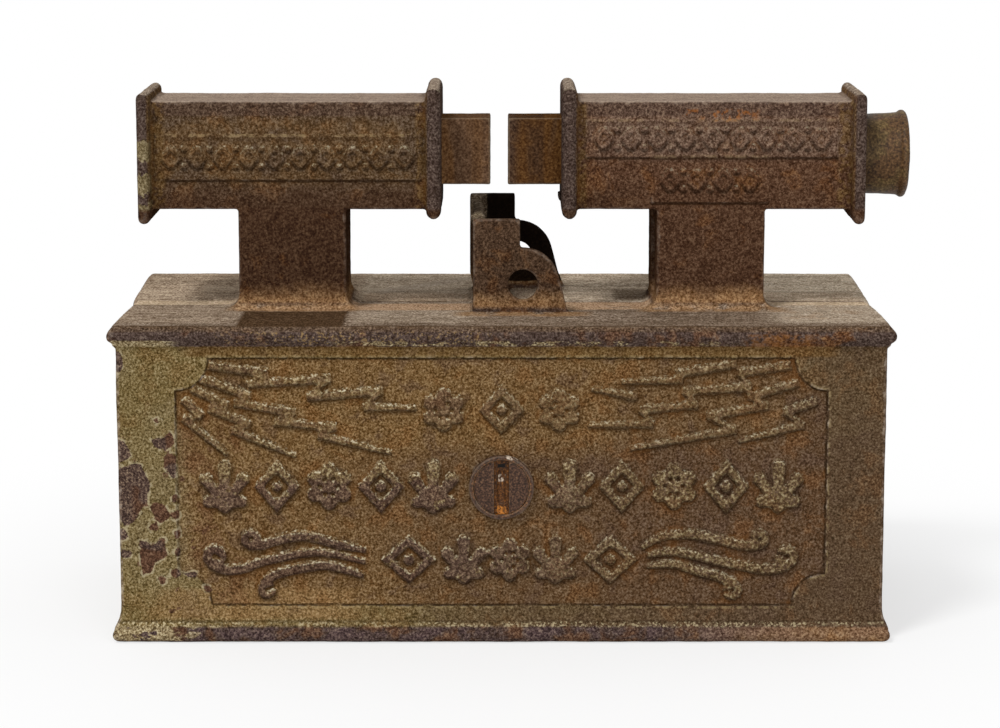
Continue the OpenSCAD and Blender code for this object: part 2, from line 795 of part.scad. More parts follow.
// Rear half of the bank: rear wall, rear of the posts and tubes, rear ear and the hinge lugs
module rear_casting() {
    color(iron) difference() {
        union() {
            half(1) shell();
            half(1) mirror_ribs(-post_x, 225);
            half(1) mirror_ribs(post_x, 135);
            seam_lugs(0, seam_lug_back);
            at_case_screws(boss_r, in_y - wall, in_y + past);
            at_tube_screws(tube_boss_r, 0, bore_y + past);
            for (s = [-1, 1]) pad(s * (post_x - duct_tab_x), pad_y);
            pad(coin_x, chute_tab_back);
            for (s = [-1, 1]) hinge_lug(s * lug_x);
        }
        at_case_screws(case_screw_r + run_gap, -past, base_dep);
        at_tube_screws(tube_screw_r + run_gap, -past, tube_dep);
        for (s = [-1, 1]) pad_hole(s * (post_x - duct_tab_x), pad_y);
        pad_hole(coin_x, chute_tab_back);
        for (s = [-1, 1]) translate([s * lug_x, hinge_y, hinge_z]) rotate([0, 90, 0]) {
            cylinder(r = pin_r + run_gap, h = lug_w + past, center = true);
        }
    }
}

// A lug that hangs from the rear wall and carries a hinge pin
module hinge_lug(x) {
    along_x(x - lug_w / 2, x + lug_w / 2) {
        translate([hinge_y, hinge_z]) circle(knuckle_r);
        translate([hinge_y, hinge_z - knuckle_r]) square([hinge_in + past, 3 * knuckle_r]);
    }
}

// A rectangular sleeve seated in an inner flange, open at both ends
module sight_sleeve(from, to) {
    outer = [0, sleeve_dep / 2, sleeve_h / 2];
    inner = [0, sleeve_dep / 2 - sleeve_wall, sleeve_h / 2 - sleeve_wall];
    color(iron) translate([0, 0, sleeve_z]) difference() {
        box([from, 0, 0] - outer, [to, 0, 0] + outer);
        box([from - past, 0, 0] - inner, [to + past, 0, 0] + inner);
    }
}

module sight_sleeve_left() {
    sight_sleeve(-sleeve_deep_x, sleeve_left_end);
}

module sight_sleeve_right() {
    sight_sleeve(sleeve_right_end, sleeve_deep_x);
}

// The eyepiece: a turned trumpet with a rolled rim and a spigot in the end wall
module eyepiece() {
    lip_r = 1.1;
    color(brass) translate([flange_out, 0, eye_z]) rotate([0, 90, 0]) difference() {
        union() {
            translate([0, 0, -eye_spigot_len]) cylinder(r = eye_spigot_r, h = eye_spigot_len + past);
            translate([0, 0, seat_gap])
                cylinder(r1 = eye_neck_r, r2 = eye_rim_r - lip_r / 2, h = eye_len - lip_r - seat_gap, $fn = 64);
            translate([0, 0, eye_len - lip_r]) rotate_extrude($fn = 64) {
                square([eye_rim_r - lip_r, lip_r]);
                translate([eye_rim_r - lip_r, 0]) circle(lip_r, $fn = 24);
            }
        }
        translate([0, 0, -eye_spigot_len - past]) cylinder(r = eye_bore_r, h = eye_spigot_len + eye_len + 2 * past);
        translate([0, 0, eye_len - eye_wall]) cylinder(r1 = eye_bore_r, r2 = eye_bore_r + 2 * eye_wall, h = 2 * eye_wall);
    }
}

// A plain mirror glass, its silvered face on the local XY plane
module mirror_glass(len) {
    color(glass) translate([-len / 2, -mirror_w / 2, -mirror_t]) cube([len, mirror_w, mirror_t]);
}

module upper_left_mirror() {
    at_mirror(-post_x, tube_z, 225) mirror_glass(upper_mirror_len);
}

module upper_right_mirror() {
    at_mirror(post_x, tube_z, 135) mirror_glass(upper_mirror_len);
}

module lower_left_mirror() {
    at_mirror(-post_x, run_z, 45) mirror_glass(lower_mirror_len);
}

module lower_right_mirror() {
    at_mirror(post_x, run_z, -45) mirror_glass(lower_mirror_len);
}

// Outline of the duct: two legs and a run, with a slanted back behind each lower mirror.
// grow is 0 for the passage inside and the tin's thickness for the outside.
module duct_outline(grow, top) {
    leg = bore_x + grow;
    run = run_h / 2 + grow;
    slant = (mirror_t + seat_gap + grow) * sqrt(2);
    both_ways() polygon([
        [0, run_z - run],
        [post_x - run + slant, run_z - run],
        [post_x + leg, run_z + leg - slant],
        [post_x + leg, top],
        [post_x - leg, top],
        [post_x - leg, run_z + run],
        [0, run_z + run]
    ]);
}

// The folded tin duct that carries the light under the coin, open to the front
module light_duct() {
    color(tin) difference() {
        union() {
            along_y(-bore_y, duct_y) duct_outline(tin_t, duct_top);
            for (s = [-1, 1]) {
                duct_tab(s * post_x, s, -pad_y);
                duct_tab(s * post_x, -s, pad_y);
            }
        }
        along_y(-bore_y - past, bore_y) duct_outline(0, base_h);
        for (s = [-1, 1]) {
            tab_bore(s * (post_x + duct_tab_x), -pad_y);
            tab_bore(s * (post_x - duct_tab_x), pad_y);
        }
    }
}

// The duct's front cover, with a lip folded back round its edge
module duct_cover() {
    lip_top = tab_top - tin_t - lip_w / 2;
    color(tin) {
        along_y(-duct_y, -bore_y) duct_outline(tin_t, duct_top);
        along_y(-duct_y, -duct_y + lip_w) difference() {
            duct_outline(2 * tin_t + seat_gap, lip_top);
            duct_outline(tin_t + seat_gap, base_h);
        }
        along_y(-duct_y, -duct_y + tin_t) duct_outline(2 * tin_t + seat_gap, lip_top);
    }
}

// A tab on the side of a leg: side says which way it points
module duct_tab(x, side, y) {
    inner = x + side * (bore_x + tin_t / 2);
    outer = x + side * (duct_x + tab_len);
    box([min(inner, outer), y - tab_w / 2, tab_top - tin_t], [max(inner, outer), y + tab_w / 2, tab_top]);
}

// Hole in a tab for a small screw
module tab_bore(x, y) {
    translate([x, y, tab_top - tin_t - past]) cylinder(r = small_r + run_gap, h = tin_t + 2 * past);
}

// A small round head screw, driven upwards through a tab into a pad
module small_screw(x, y) {
    low = tab_top - tin_t;
    color(steel) translate([x, y, low]) difference() {
        union() {
            translate([0, 0, -small_head_h]) cylinder(r = small_head_r, h = small_head_h);
            cylinder(r = small_r, h = tin_t + seat_gap + small_bite - 0.4);
        }
        translate([-small_head_r, -0.3, -small_head_h - past]) cube([2 * small_head_r, 0.6, past + 0.5]);
    }
}

module duct_screws() {
    for (s = [-1, 1]) {
        small_screw(s * (post_x + duct_tab_x), -pad_y);
        small_screw(s * (post_x - duct_tab_x), pad_y);
    }
}

module chute_screws() {
    small_screw(coin_x, -chute_tab_front);
    small_screw(coin_x, chute_tab_back);
}

// Side of the chute: upright under the slot, then down the slope to the back
module chute_side_outline() {
    polygon([
        [-chute_front, duct_top],
        [-chute_front, floor_sum + chute_front],
        [chute_back, floor_sum - chute_back],
        [chute_back, floor_sum - chute_back + chute_side],
        [chute_back_top, duct_top - chute_side / 2],
        [chute_back_top, duct_top]
    ]);
}

// The passage inside the chute, seen from the side: it is open above and at its lower end
module chute_passage_outline() {
    rise = tin_t * sqrt(2);
    polygon([
        [-chute_front + tin_t, base_h],
        [-chute_front + tin_t, floor_sum + rise + chute_front - tin_t],
        [chute_back + past, floor_sum + rise - chute_back - past],
        [chute_back + past, floor_sum - chute_back + chute_side],
        [chute_back_top - tin_t, duct_top - chute_side / 2],
        [chute_back_top - tin_t, base_h]
    ]);
}

// The tin chute that turns the falling coin to the back, over the duct
module coin_chute() {
    color(tin) translate([coin_x, 0, 0]) difference() {
        union() {
            along_x(-chute_x - tin_t, chute_x + tin_t) chute_side_outline();
            box([-tab_w / 2, -chute_tab_front - tab_hole, tab_top - tin_t], [tab_w / 2, -chute_front + tin_t / 2, tab_top]);
            box([-tab_w / 2, chute_back_top - tin_t / 2, tab_top - tin_t], [tab_w / 2, chute_tab_back + tab_hole, tab_top]);
        }
        along_x(-chute_x, chute_x) chute_passage_outline();
        tab_bore(0, -chute_tab_front);
        tab_bore(0, chute_tab_back);
    }
}

// A round head screw along Y: the head's seat at y, the tip further forward
module screw_y(r, head_r, seat, tip) {
    difference() {
        union() {
            bar_y(r, tip, seat + head_h / 2);
            bar_y(head_r, seat, seat + head_h);
        }
        box([-head_r - past, seat + head_h / 2, -0.5], [head_r + past, seat + head_h + past, 0.5]);
    }
}

module case_screws() {
    color(steel) for (s = [-1, 1]) for (z = [case_screw_low, case_screw_high])
        translate([s * case_screw_x, 0, z]) screw_y(case_screw_r, case_head_r, box_y, -seam_lug_front + past);
}

module tube_screws() {
    color(steel) for (s = [-1, 1])
        translate([s * tube_screw_x, 0, tube_z]) screw_y(tube_screw_r, tube_head_r, tube_y, -bore_y + past);
}

// The lock's fixed barrel, with a rim in front of the panel
module lock_barrel() {
    color(iron) translate([0, 0, lock_z]) difference() {
        union() {
            bar_y(lock_rim_r, -lock_front, -panel_y - seat_gap / 2);
            bar_y(barrel_r, -lock_front, -barrel_back);
        }
        bar_y(plug_face_r + run_gap, -lock_front - past, -plug_step + run_gap);
        bar_y(plug_r + run_gap, -lock_front - past, -barrel_back + past);
    }
}

// The slotted ring nut that holds the barrel in the wall
module lock_nut() {
    seat = in_y - seat_gap / 2;
    color(steel) translate([0, 0, lock_z]) difference() {
        bar_y(nut_r, -seat, -seat + nut_t);
        bar_y(barrel_r + run_gap, -seat - past, -seat + nut_t + past);
        for (s = [-1, 1]) {
            box([min(s * (nut_r - 1.4), s * nut_r * 2), -seat - past, -nut_slot_w / 2],
                [max(s * (nut_r - 1.4), s * nut_r * 2), -seat + nut_t + past, nut_slot_w / 2]);
        }
    }
}

// The plug that the key turns, with a square stub for the cam
module lock_plug() {
    groove = plug_face_r * 0.97;
    color(iron) translate([0, 0, lock_z]) difference() {
        union() {
            bar_y(plug_face_r, -plug_front, -plug_step);
            bar_y(plug_r, -plug_step - past, -plug_back);
            box([-cam_square / 2, -plug_back - past, -cam_square / 2], [cam_square / 2, -plug_back + cam_t, cam_square / 2]);
        }
        box([-key_groove_w / 2, -plug_front - past, -groove], [key_groove_w / 2, -plug_front + 1.2, groove]);
        box([-key_slot_w / 2, -plug_front - past, -plug_r * 0.8], [key_slot_w / 2, -plug_front + 12, plug_r * 0.8]);
        bar_y(cam_screw_r + run_gap, -plug_back - 4, -plug_back + cam_t + past);
    }
}

// The cam on the plug's stub: it hangs down when the lock is open
module lock_cam() {
    color(steel) translate([0, 0, lock_z]) difference() {
        along_y(-cam_y, -cam_y + cam_t) {
            circle(cam_w * 0.75);
            translate([-cam_w / 2, -cam_len + cam_w / 2]) square([cam_w, cam_len - cam_w / 2]);
            translate([0, -cam_len + cam_w / 2]) circle(cam_w / 2);
        }
        hole = cam_square / 2 + run_gap;
        box([-hole, -cam_y - past, -hole], [hole, -cam_y + cam_t + past, hole]);
    }
}

// The screw that keeps the cam on its stub
module cam_screw() {
    seat = -cam_y + cam_t + run_gap;
    color(steel) translate([0, 0, lock_z]) difference() {
        union() {
            bar_y(cam_screw_r, seat - cam_t - 3, seat + past / 2);
            bar_y(cam_head_r, seat, seat + cam_head_t);
        }
        box([-0.4, seat + cam_head_t / 2, -2 * cam_head_r], [0.4, seat + cam_head_t + past, 2 * cam_head_r]);
    }
}

// The base plate: a door hinged at the back, with knuckles on both sides of each lug
module base_plate() {
    edge_x = in_x - plate_gap;
    color(iron) difference() {
        union() {
            box([-edge_x, -plate_front, plate_low], [edge_x, plate_back, plate_top]);
            for (s = [-1, 1]) for (end = [-1, 1])
                translate([s * lug_x + end * (lug_w / 2 + lug_gap + knuckle_len / 2), hinge_y, hinge_z])
                    rotate([0, 90, 0]) cylinder(r = knuckle_r, h = knuckle_len, center = true);
        }
        for (s = [-1, 1]) {
            box([s * lug_x - lug_w / 2 - lug_gap, notch_y, -past], [s * lug_x + lug_w / 2 + lug_gap, in_y, base_h]);
            for (end = [-1, 1]) {
                side = s * lug_x + end * (pin_half + lug_gap + pin_head_t);
                box([min(side, side - end * (pin_head_t + lug_gap)), notch_y, -past],
                    [max(side, side - end * (pin_head_t + lug_gap)), in_y, base_h]);
            }
        }
        translate([0, hinge_y, hinge_z]) rotate([0, 90, 0]) {
            cylinder(r = pin_r + run_gap, h = base_len, center = true);
        }
        for (at = rivet_at) translate([hasp_x + hasp_foot * at, 0, -past]) translate([0, -hasp_front + hasp_w / 2, 0])
            cylinder(r = rivet_r + run_gap, h = 2 * plate_top + past);
    }
}

// Two short hinge pins with riveted ends
module hinge_pins() {
    color(steel) for (s = [-1, 1]) translate([s * lug_x, hinge_y, hinge_z]) rotate([0, 90, 0]) {
        cylinder(r = pin_r, h = 2 * pin_half + pin_head_t, center = true);
        for (end = [-1, 1]) translate([0, 0, end * (pin_half + lug_gap / 2 + pin_head_t / 2)]) {
            cylinder(r = pin_head_r, h = pin_head_t, center = true);
        }
    }
}

// The hasp: a bent strip with a foot on the plate and a hook over the cam
module hasp() {
    color(steel) difference() {
        along_y(-hasp_front, -hasp_front + hasp_w) {
            translate([hasp_x, plate_top]) square([hasp_foot, hasp_t]);
            translate([hasp_x, plate_top]) square([hasp_t, hook_z + hook_t - plate_top]);
            translate([hook_tip, hook_z]) square([hasp_x + hasp_t - hook_tip, hook_t]);
        }
        for (at = rivet_at) translate([hasp_x + hasp_foot * at, -hasp_front + hasp_w / 2, 0])
            cylinder(r = rivet_r + run_gap, h = base_h / 2);
    }
}

module hasp_rivets() {
    color(steel) for (at = rivet_at)
        translate([hasp_x + hasp_foot * at, -hasp_front + hasp_w / 2, plate_low]) {
            cylinder(r = rivet_r, h = plate_t + hasp_t + past / 2);
            translate([0, 0, plate_t + hasp_t]) cylinder(r = rivet_head_r, h = rivet_head_h);
        }
}

front_casting();
rear_casting();
sight_sleeve_left();
sight_sleeve_right();
eyepiece();
upper_left_mirror();
upper_right_mirror();
lower_left_mirror();
lower_right_mirror();
light_duct();
duct_cover();
duct_screws();
coin_chute();
chute_screws();
case_screws();
tube_screws();
lock_barrel();
lock_nut();
lock_plug();
lock_cam();
cam_screw();
base_plate();
hinge_pins();
hasp();
hasp_rivets();
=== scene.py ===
"""Looks of a cast iron mechanical bank with a sight tube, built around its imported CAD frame.

All places are in the frame's own axes: X to the right, Y to the back, Z up. Sizes are written in
millimetres and turned into metres where a mesh is made. The castings are worked up from copies of
the CAD nodes: small ornament is laid on the tubes, the whole is melted together in small voxels,
roughened as sand casting leaves it, and thinned again.
"""

import json
import logging
import math
from collections.abc import Callable
from dataclasses import dataclass, field
from enum import Enum

import bpy
import numpy as np
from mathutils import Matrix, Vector


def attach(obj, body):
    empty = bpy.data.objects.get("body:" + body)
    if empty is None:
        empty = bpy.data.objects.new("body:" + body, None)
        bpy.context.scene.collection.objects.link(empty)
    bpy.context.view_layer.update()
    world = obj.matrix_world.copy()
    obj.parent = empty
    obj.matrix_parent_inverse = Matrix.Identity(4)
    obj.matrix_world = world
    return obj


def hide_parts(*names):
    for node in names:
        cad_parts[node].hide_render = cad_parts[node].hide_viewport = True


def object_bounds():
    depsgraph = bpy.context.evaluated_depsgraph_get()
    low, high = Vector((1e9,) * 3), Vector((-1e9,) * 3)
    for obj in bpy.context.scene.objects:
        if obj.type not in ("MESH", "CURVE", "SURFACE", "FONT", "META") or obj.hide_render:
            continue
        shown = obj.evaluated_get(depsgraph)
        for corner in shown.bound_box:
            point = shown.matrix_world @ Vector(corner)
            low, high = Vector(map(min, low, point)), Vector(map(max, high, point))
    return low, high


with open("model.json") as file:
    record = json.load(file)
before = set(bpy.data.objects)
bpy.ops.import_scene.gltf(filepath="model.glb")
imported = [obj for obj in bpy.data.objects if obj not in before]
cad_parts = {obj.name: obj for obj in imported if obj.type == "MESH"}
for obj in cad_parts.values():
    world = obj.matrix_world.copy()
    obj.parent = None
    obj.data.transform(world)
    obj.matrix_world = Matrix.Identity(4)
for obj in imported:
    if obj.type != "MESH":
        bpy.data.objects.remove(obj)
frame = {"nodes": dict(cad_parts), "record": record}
CAD_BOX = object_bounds()

LOG = logging.getLogger("bank")
MM = 0.001
GRAIN = (0.36, 0.45, 0.5, 0.55, 0.66)
WHITE = (1.0, 1.0, 1.0, 1.0)
Pair = tuple[float, float]
Triple = tuple[float, float, float]
Socket = bpy.types.NodeSocket
Spans = tuple[Triple, Triple, Triple]
Tones = tuple[str, str, str, str, str]


class Slot(Enum):
    """The record's material slots."""

    CASTING = "bronzed_iron"
    RUSTY = "rusty_iron"
    BRASS = "olive_brass"
    LOCK = "dark_lock"
    TIN = "tinplate"
    MIRROR = "mirror_glass"
    STEEL = "screw_steel"


class Body(Enum):
    """The bodies that pieces ride on."""

    BANK = "bank"
    LOCK = "lock"
    DOOR = "base_door"


class Relief(Enum):
    """Kinds of raised work, by how their tops have worn."""

    BOLT = "bolt"
    SCROLL = "scroll"
    MOTIF = "motif"


def tone(code: str) -> tuple[float, float, float, float]:
    """Turns a colour as a screen shows it into the linear colour that a shader wants.

    Args:
        code: Six hexadecimal digits after a hash sign.

    Returns:
        Red, green, blue and alpha.
    """
    parts = [int(code[i : i + 2], 16) / 255 for i in (1, 3, 5)]
    linear = [p / 12.92 if p <= 0.04045 else ((p + 0.055) / 1.055) ** 2.4 for p in parts]
    return (linear[0], linear[1], linear[2], 1.0)


@dataclass(frozen=True)
class Patch:
    """A place by X and Y, each as low end, high end and the fall beyond them, and how strongly it shows."""

    x: Triple
    y: Triple
    share: float = 1.0


class Tree:
    """Draws up a tree of shader nodes."""

    def __init__(self, tree: bpy.types.NodeTree) -> None:
        """Takes over a tree and empties it."""
        self.tree = tree
        self.tree.nodes.clear()

    def add(self, kind: str, settings: dict | None = None) -> bpy.types.Node:
        """Adds a node.

        Args:
            kind: The node's type.
            settings: Attributes to set on it.

        Returns:
            The node.
        """
        node = self.tree.nodes.new(kind)
        for name, value in (settings or {}).items():
            setattr(node, name, value)
        return node

    def feed(self, socket: Socket, value: Socket | float | tuple) -> None:
        """Links a socket to another, or sets its value.

        Args:
            socket: The input.
            value: An output to link, or a constant.
        """
        if isinstance(value, bpy.types.NodeSocket):
            self.tree.links.new(value, socket)
        else:
            socket.default_value = value

    def calc(self, how: str, a: Socket | float, b: Socket | float = 0.0, c: Socket | float = 0.0) -> Socket:
        """Works a sum on single values.

        Args:
            how: The operation's name.
            a: First value.
            b: Second value.
            c: Third value, for operations that have one.

        Returns:
            The result.
        """
        node = self.add("ShaderNodeMath", {"operation": how})
        for socket, value in zip(node.inputs, (a, b, c)):
            self.feed(socket, value)
        return node.outputs[0]

    def scaled(self, value: Socket, by: float, plus: Socket | float) -> Socket:
        """A value times a factor, plus another value."""
        return self.calc("MULTIPLY_ADD", value, by, plus)

    def both(self, *shares: Socket | float) -> Socket:
        """Multiplies shares together.

        Args:
            shares: Two or more shares.

        Returns:
            Their product.
        """
        result = shares[0]
        for share in shares[1:]:
            result = self.calc("MULTIPLY", result, share)
        return result

    def most(self, *values: Socket) -> Socket:
        """The largest of some values.

        Args:
            values: Two or more values.

        Returns:
            The largest.
        """
        result = values[0]
        for value in values[1:]:
            result = self.calc("MAXIMUM", result, value)
        return result

    def blend(self, share: Socket, a: Socket, b: Socket) -> Socket:
        """Mixes two shaders.

        Args:
            share: How much of b shows.
            a: First shader.
            b: Second shader.

        Returns:
            The mixed shader.
        """
        node = self.add("ShaderNodeMixShader")
        for socket, value in zip(node.inputs, (share, a, b)):
            self.feed(socket, value)
        return node.outputs[0]

    def seen(self) -> Socket:
        """Share of 1 for what is seen directly, in gloss or through glass."""
        rays = self.add("ShaderNodeLightPath").outputs
        return self.most(*(rays[f"Is {kind} Ray"] for kind in ("Camera", "Glossy", "Transmission")))


class Brush(Tree):
    """Draws up the tree of one material, with places in millimetres."""

    def __init__(self, name: str) -> None:
        """Starts an empty material.

        Args:
            name: The material's name.
        """
        self.material = bpy.data.materials.new(name)
        self.material.use_nodes = True
        super().__init__(self.material.node_tree)
        coords = self.add("ShaderNodeTexCoord")
        scaled = self.add("ShaderNodeVectorMath", {"operation": "SCALE"})
        self.feed(scaled.inputs[0], coords.outputs["Object"])
        scaled.inputs["Scale"].default_value = 1 / MM
        self.place = scaled.outputs[0]
        axes = self.add("ShaderNodeSeparateXYZ")
        self.feed(axes.inputs[0], self.place)
        self.x, self.y, self.z = axes.outputs
        self.fine: Socket | None = None

    def step(self, value: Socket, low: float, high: float) -> Socket:
        """Rises smoothly from 0 to 1 as value goes from low to high.

        Args:
            value: What is measured.
            low: Where the rise starts. It may be above high, for a fall.
            high: Where it ends.

        Returns:
            The share, from 0 to 1.
        """
        node = self.add("ShaderNodeMapRange", {"interpolation_type": "SMOOTHSTEP", "clamp": False})
        self.feed(node.inputs["Value"], value)
        turned = low > high
        node.inputs["From Min"].default_value = min(low, high)
        node.inputs["From Max"].default_value = max(low, high)
        node.inputs["To Min"].default_value = 1.0 if turned else 0.0
        node.inputs["To Max"].default_value = 0.0 if turned else 1.0
        return node.outputs["Result"]

    def within(self, value: Socket, low: float, high: float, soft: float) -> Socket:
        """1 between low and high, falling to 0 over soft on either side."""
        return self.both(self.step(value, low - soft, low), self.step(value, high + soft, high))

    def wander(self, by: Socket, far: float) -> None:
        """Lets places stray a little, so that no border between two finishes is ruled."""
        stray = self.scaled(by, far, -far / 2)
        self.x, self.y, self.z = (self.calc("ADD", axis, stray) for axis in (self.x, self.y, self.z))

    def stretched(self, by: Triple) -> Socket:
        """Places with each axis multiplied, so that a pattern runs along one of them.

        Args:
            by: Factor for X, Y and Z. A small one draws the pattern out.

        Returns:
            The changed places.
        """
        node = self.add("ShaderNodeVectorMath", {"operation": "MULTIPLY"})
        self.feed(node.inputs[0], self.place)
        node.inputs[1].default_value = by
        return node.outputs[0]

    def noise(
        self,
        size: float,
        detail: float = 3.0,
        rough: float = 0.55,
        seed: float = 0.0,
        warp: float = 0.0,
        place: Socket | None = None,
    ) -> Socket:
        """Clouds about 0.5.

        Args:
            size: Size of the largest clouds in millimetres.
            detail: How many finer layers are added.
            rough: How strong the finer layers are.
            seed: Picks another pattern.
            warp: How much the clouds are distorted.
            place: Places to read instead of the piece's own.

        Returns:
            The clouds' value.
        """
        node = self.add("ShaderNodeTexNoise", {"noise_dimensions": "4D"})
        self.feed(node.inputs["Vector"], place or self.place)
        node.inputs["W"].default_value = seed
        node.inputs["Scale"].default_value = 1 / size
        node.inputs["Detail"].default_value = detail
        node.inputs["Roughness"].default_value = rough
        node.inputs["Distortion"].default_value = warp
        return node.outputs["Fac"]

    def grade(self, value: Socket, stops: tuple[tuple[float, str], ...]) -> Socket:
        """Turns a value into a colour.

        Args:
            value: What is measured.
            stops: Pairs of a value and the colour there, in rising order.

        Returns:
            The colour.
        """
        node = self.add("ShaderNodeValToRGB")
        ramp = node.color_ramp
        while len(ramp.elements) < len(stops):
            ramp.elements.new(0.5)
        for element, (at, code) in zip(ramp.elements, stops):
            element.position = at
            element.color = tone(code)
        self.feed(node.inputs[0], value)
        return node.outputs["Color"]

    def tint(self, tones: Tones, grain: Socket | None = None) -> Socket:
        """Turns a grain into five tones of one finish."""
        return self.grade(grain or self.fine, tuple(zip(GRAIN, tones)))

    def mix(self, share: Socket | float, a: Socket | tuple, b: Socket | tuple) -> Socket:
        """Lays colour b over colour a.

        Args:
            share: How much of b shows.
            a: Lower colour.
            b: Upper colour.

        Returns:
            The mixed colour.
        """
        node = self.add("ShaderNodeMix", {"data_type": "RGBA"})
        self.feed(node.inputs[0], share)
        self.feed(node.inputs[6], a)
        self.feed(node.inputs[7], b)
        return node.outputs[2]

    def lay(self, share: Socket, under: Socket, over: Tones | str, grain: Socket | None = None) -> Socket:
        """Lays a finish over a colour."""
        return self.mix(share, under, tone(over) if isinstance(over, str) else self.tint(over, grain))

    def painted(self, name: str) -> Socket:
        """Reads a value that was stored on the mesh's points."""
        return self.add("ShaderNodeAttribute", {"attribute_name": name}).outputs["Fac"]

    def upward(self) -> Socket:
        """Upward part of the surface's normal.

        Returns:
            From -1, facing down, to 1, facing up.
        """
        geometry = self.add("ShaderNodeNewGeometry")
        split = self.add("ShaderNodeSeparateXYZ")
        self.feed(split.inputs[0], geometry.outputs["Normal"])
        return split.outputs[2]

    def at(self, x: Triple | None = None, y: Triple | None = None, z: Triple | None = None) -> Socket:
        """Share of 1 between two ends along each axis that is given.

        Args:
            x: Low end, high end and the width of the fall beyond them, along X.
            y: The same along Y.
            z: The same along Z.

        Returns:
            The share, from 0 to 1.
        """
        spans = [(axis, span) for axis, span in ((self.x, x), (self.y, y), (self.z, z)) if span]
        return self.both(*(self.within(axis, *span) for axis, span in spans))

    def strongest(self, *patches: Patch) -> Socket:
        """Share of the strongest of some patches."""
        return self.most(*(self.both(self.at(patch.x, patch.y), patch.share) for patch in patches))

    def done(
        self,
        colour: Socket | tuple,
        rough: Socket | float,
        heights: list[tuple[Socket, float]],
        metallic: Socket | float = 0.0,
        specular: float = 0.0,
    ) -> bpy.types.Material:
        """Ends the tree in a Principled shader.

        Args:
            colour: Base colour.
            rough: Roughness.
            heights: Patterns that stand out, each with its height in millimetres.
            metallic: Share of bare metal.
            specular: Strength of the coat of reflection on what isn't metal.

        Returns:
            The material.
        """
        shader = self.add("ShaderNodeBsdfPrincipled")
        self.feed(shader.inputs["Base Color"], colour)
        self.feed(shader.inputs["Roughness"], rough)
        self.feed(shader.inputs["Metallic"], metallic)
        shader.inputs["Specular IOR Level"].default_value = specular
        normal = None
        for height, tall in heights:
            bump = self.add("ShaderNodeBump")
            bump.inputs["Strength"].default_value = 1.0
            bump.inputs["Distance"].default_value = tall * MM
            self.feed(bump.inputs["Height"], height)
            if normal is not None:
                self.feed(bump.inputs["Normal"], normal)
            normal = bump.outputs["Normal"]
        if normal is not None:
            self.feed(shader.inputs["Normal"], normal)
        out = self.add("ShaderNodeOutputMaterial")
        self.feed(out.inputs["Surface"], shader.outputs[0])
        return self.material


class CastingBrush(Brush):
    """A brush with the patterns that the castings' finish is mixed from."""

    def __init__(self, name: str, grain_size: float) -> None:
        """Starts an empty material and its patterns.

        Args:
            name: The material's name.
            grain_size: Size of the finest grains in millimetres.
        """
        super().__init__(name)
        self.grain = self.noise(grain_size, 3, 0.78)
        self.coarse = self.noise(1.7, 3, 0.6, 3.0)
        self.fine = self.scaled(self.grain, 1.06, self.scaled(self.coarse, 0.2, -0.13))
        self.mottle = self.noise(6.5, 4, 0.6, 5.0, 0.4)
        self.cloud = self.noise(30, 3, 0.5, 8.0)
        self.wander(self.coarse, 0.9)


@dataclass(frozen=True)
class Panel:
    """Outline of the front's sunk panel, an oblong with hollow corners."""

    half: float = 79.0
    low: float = 9.2
    high: float = 70.6
    notch: float = 8.0
    middle: float = 39.9


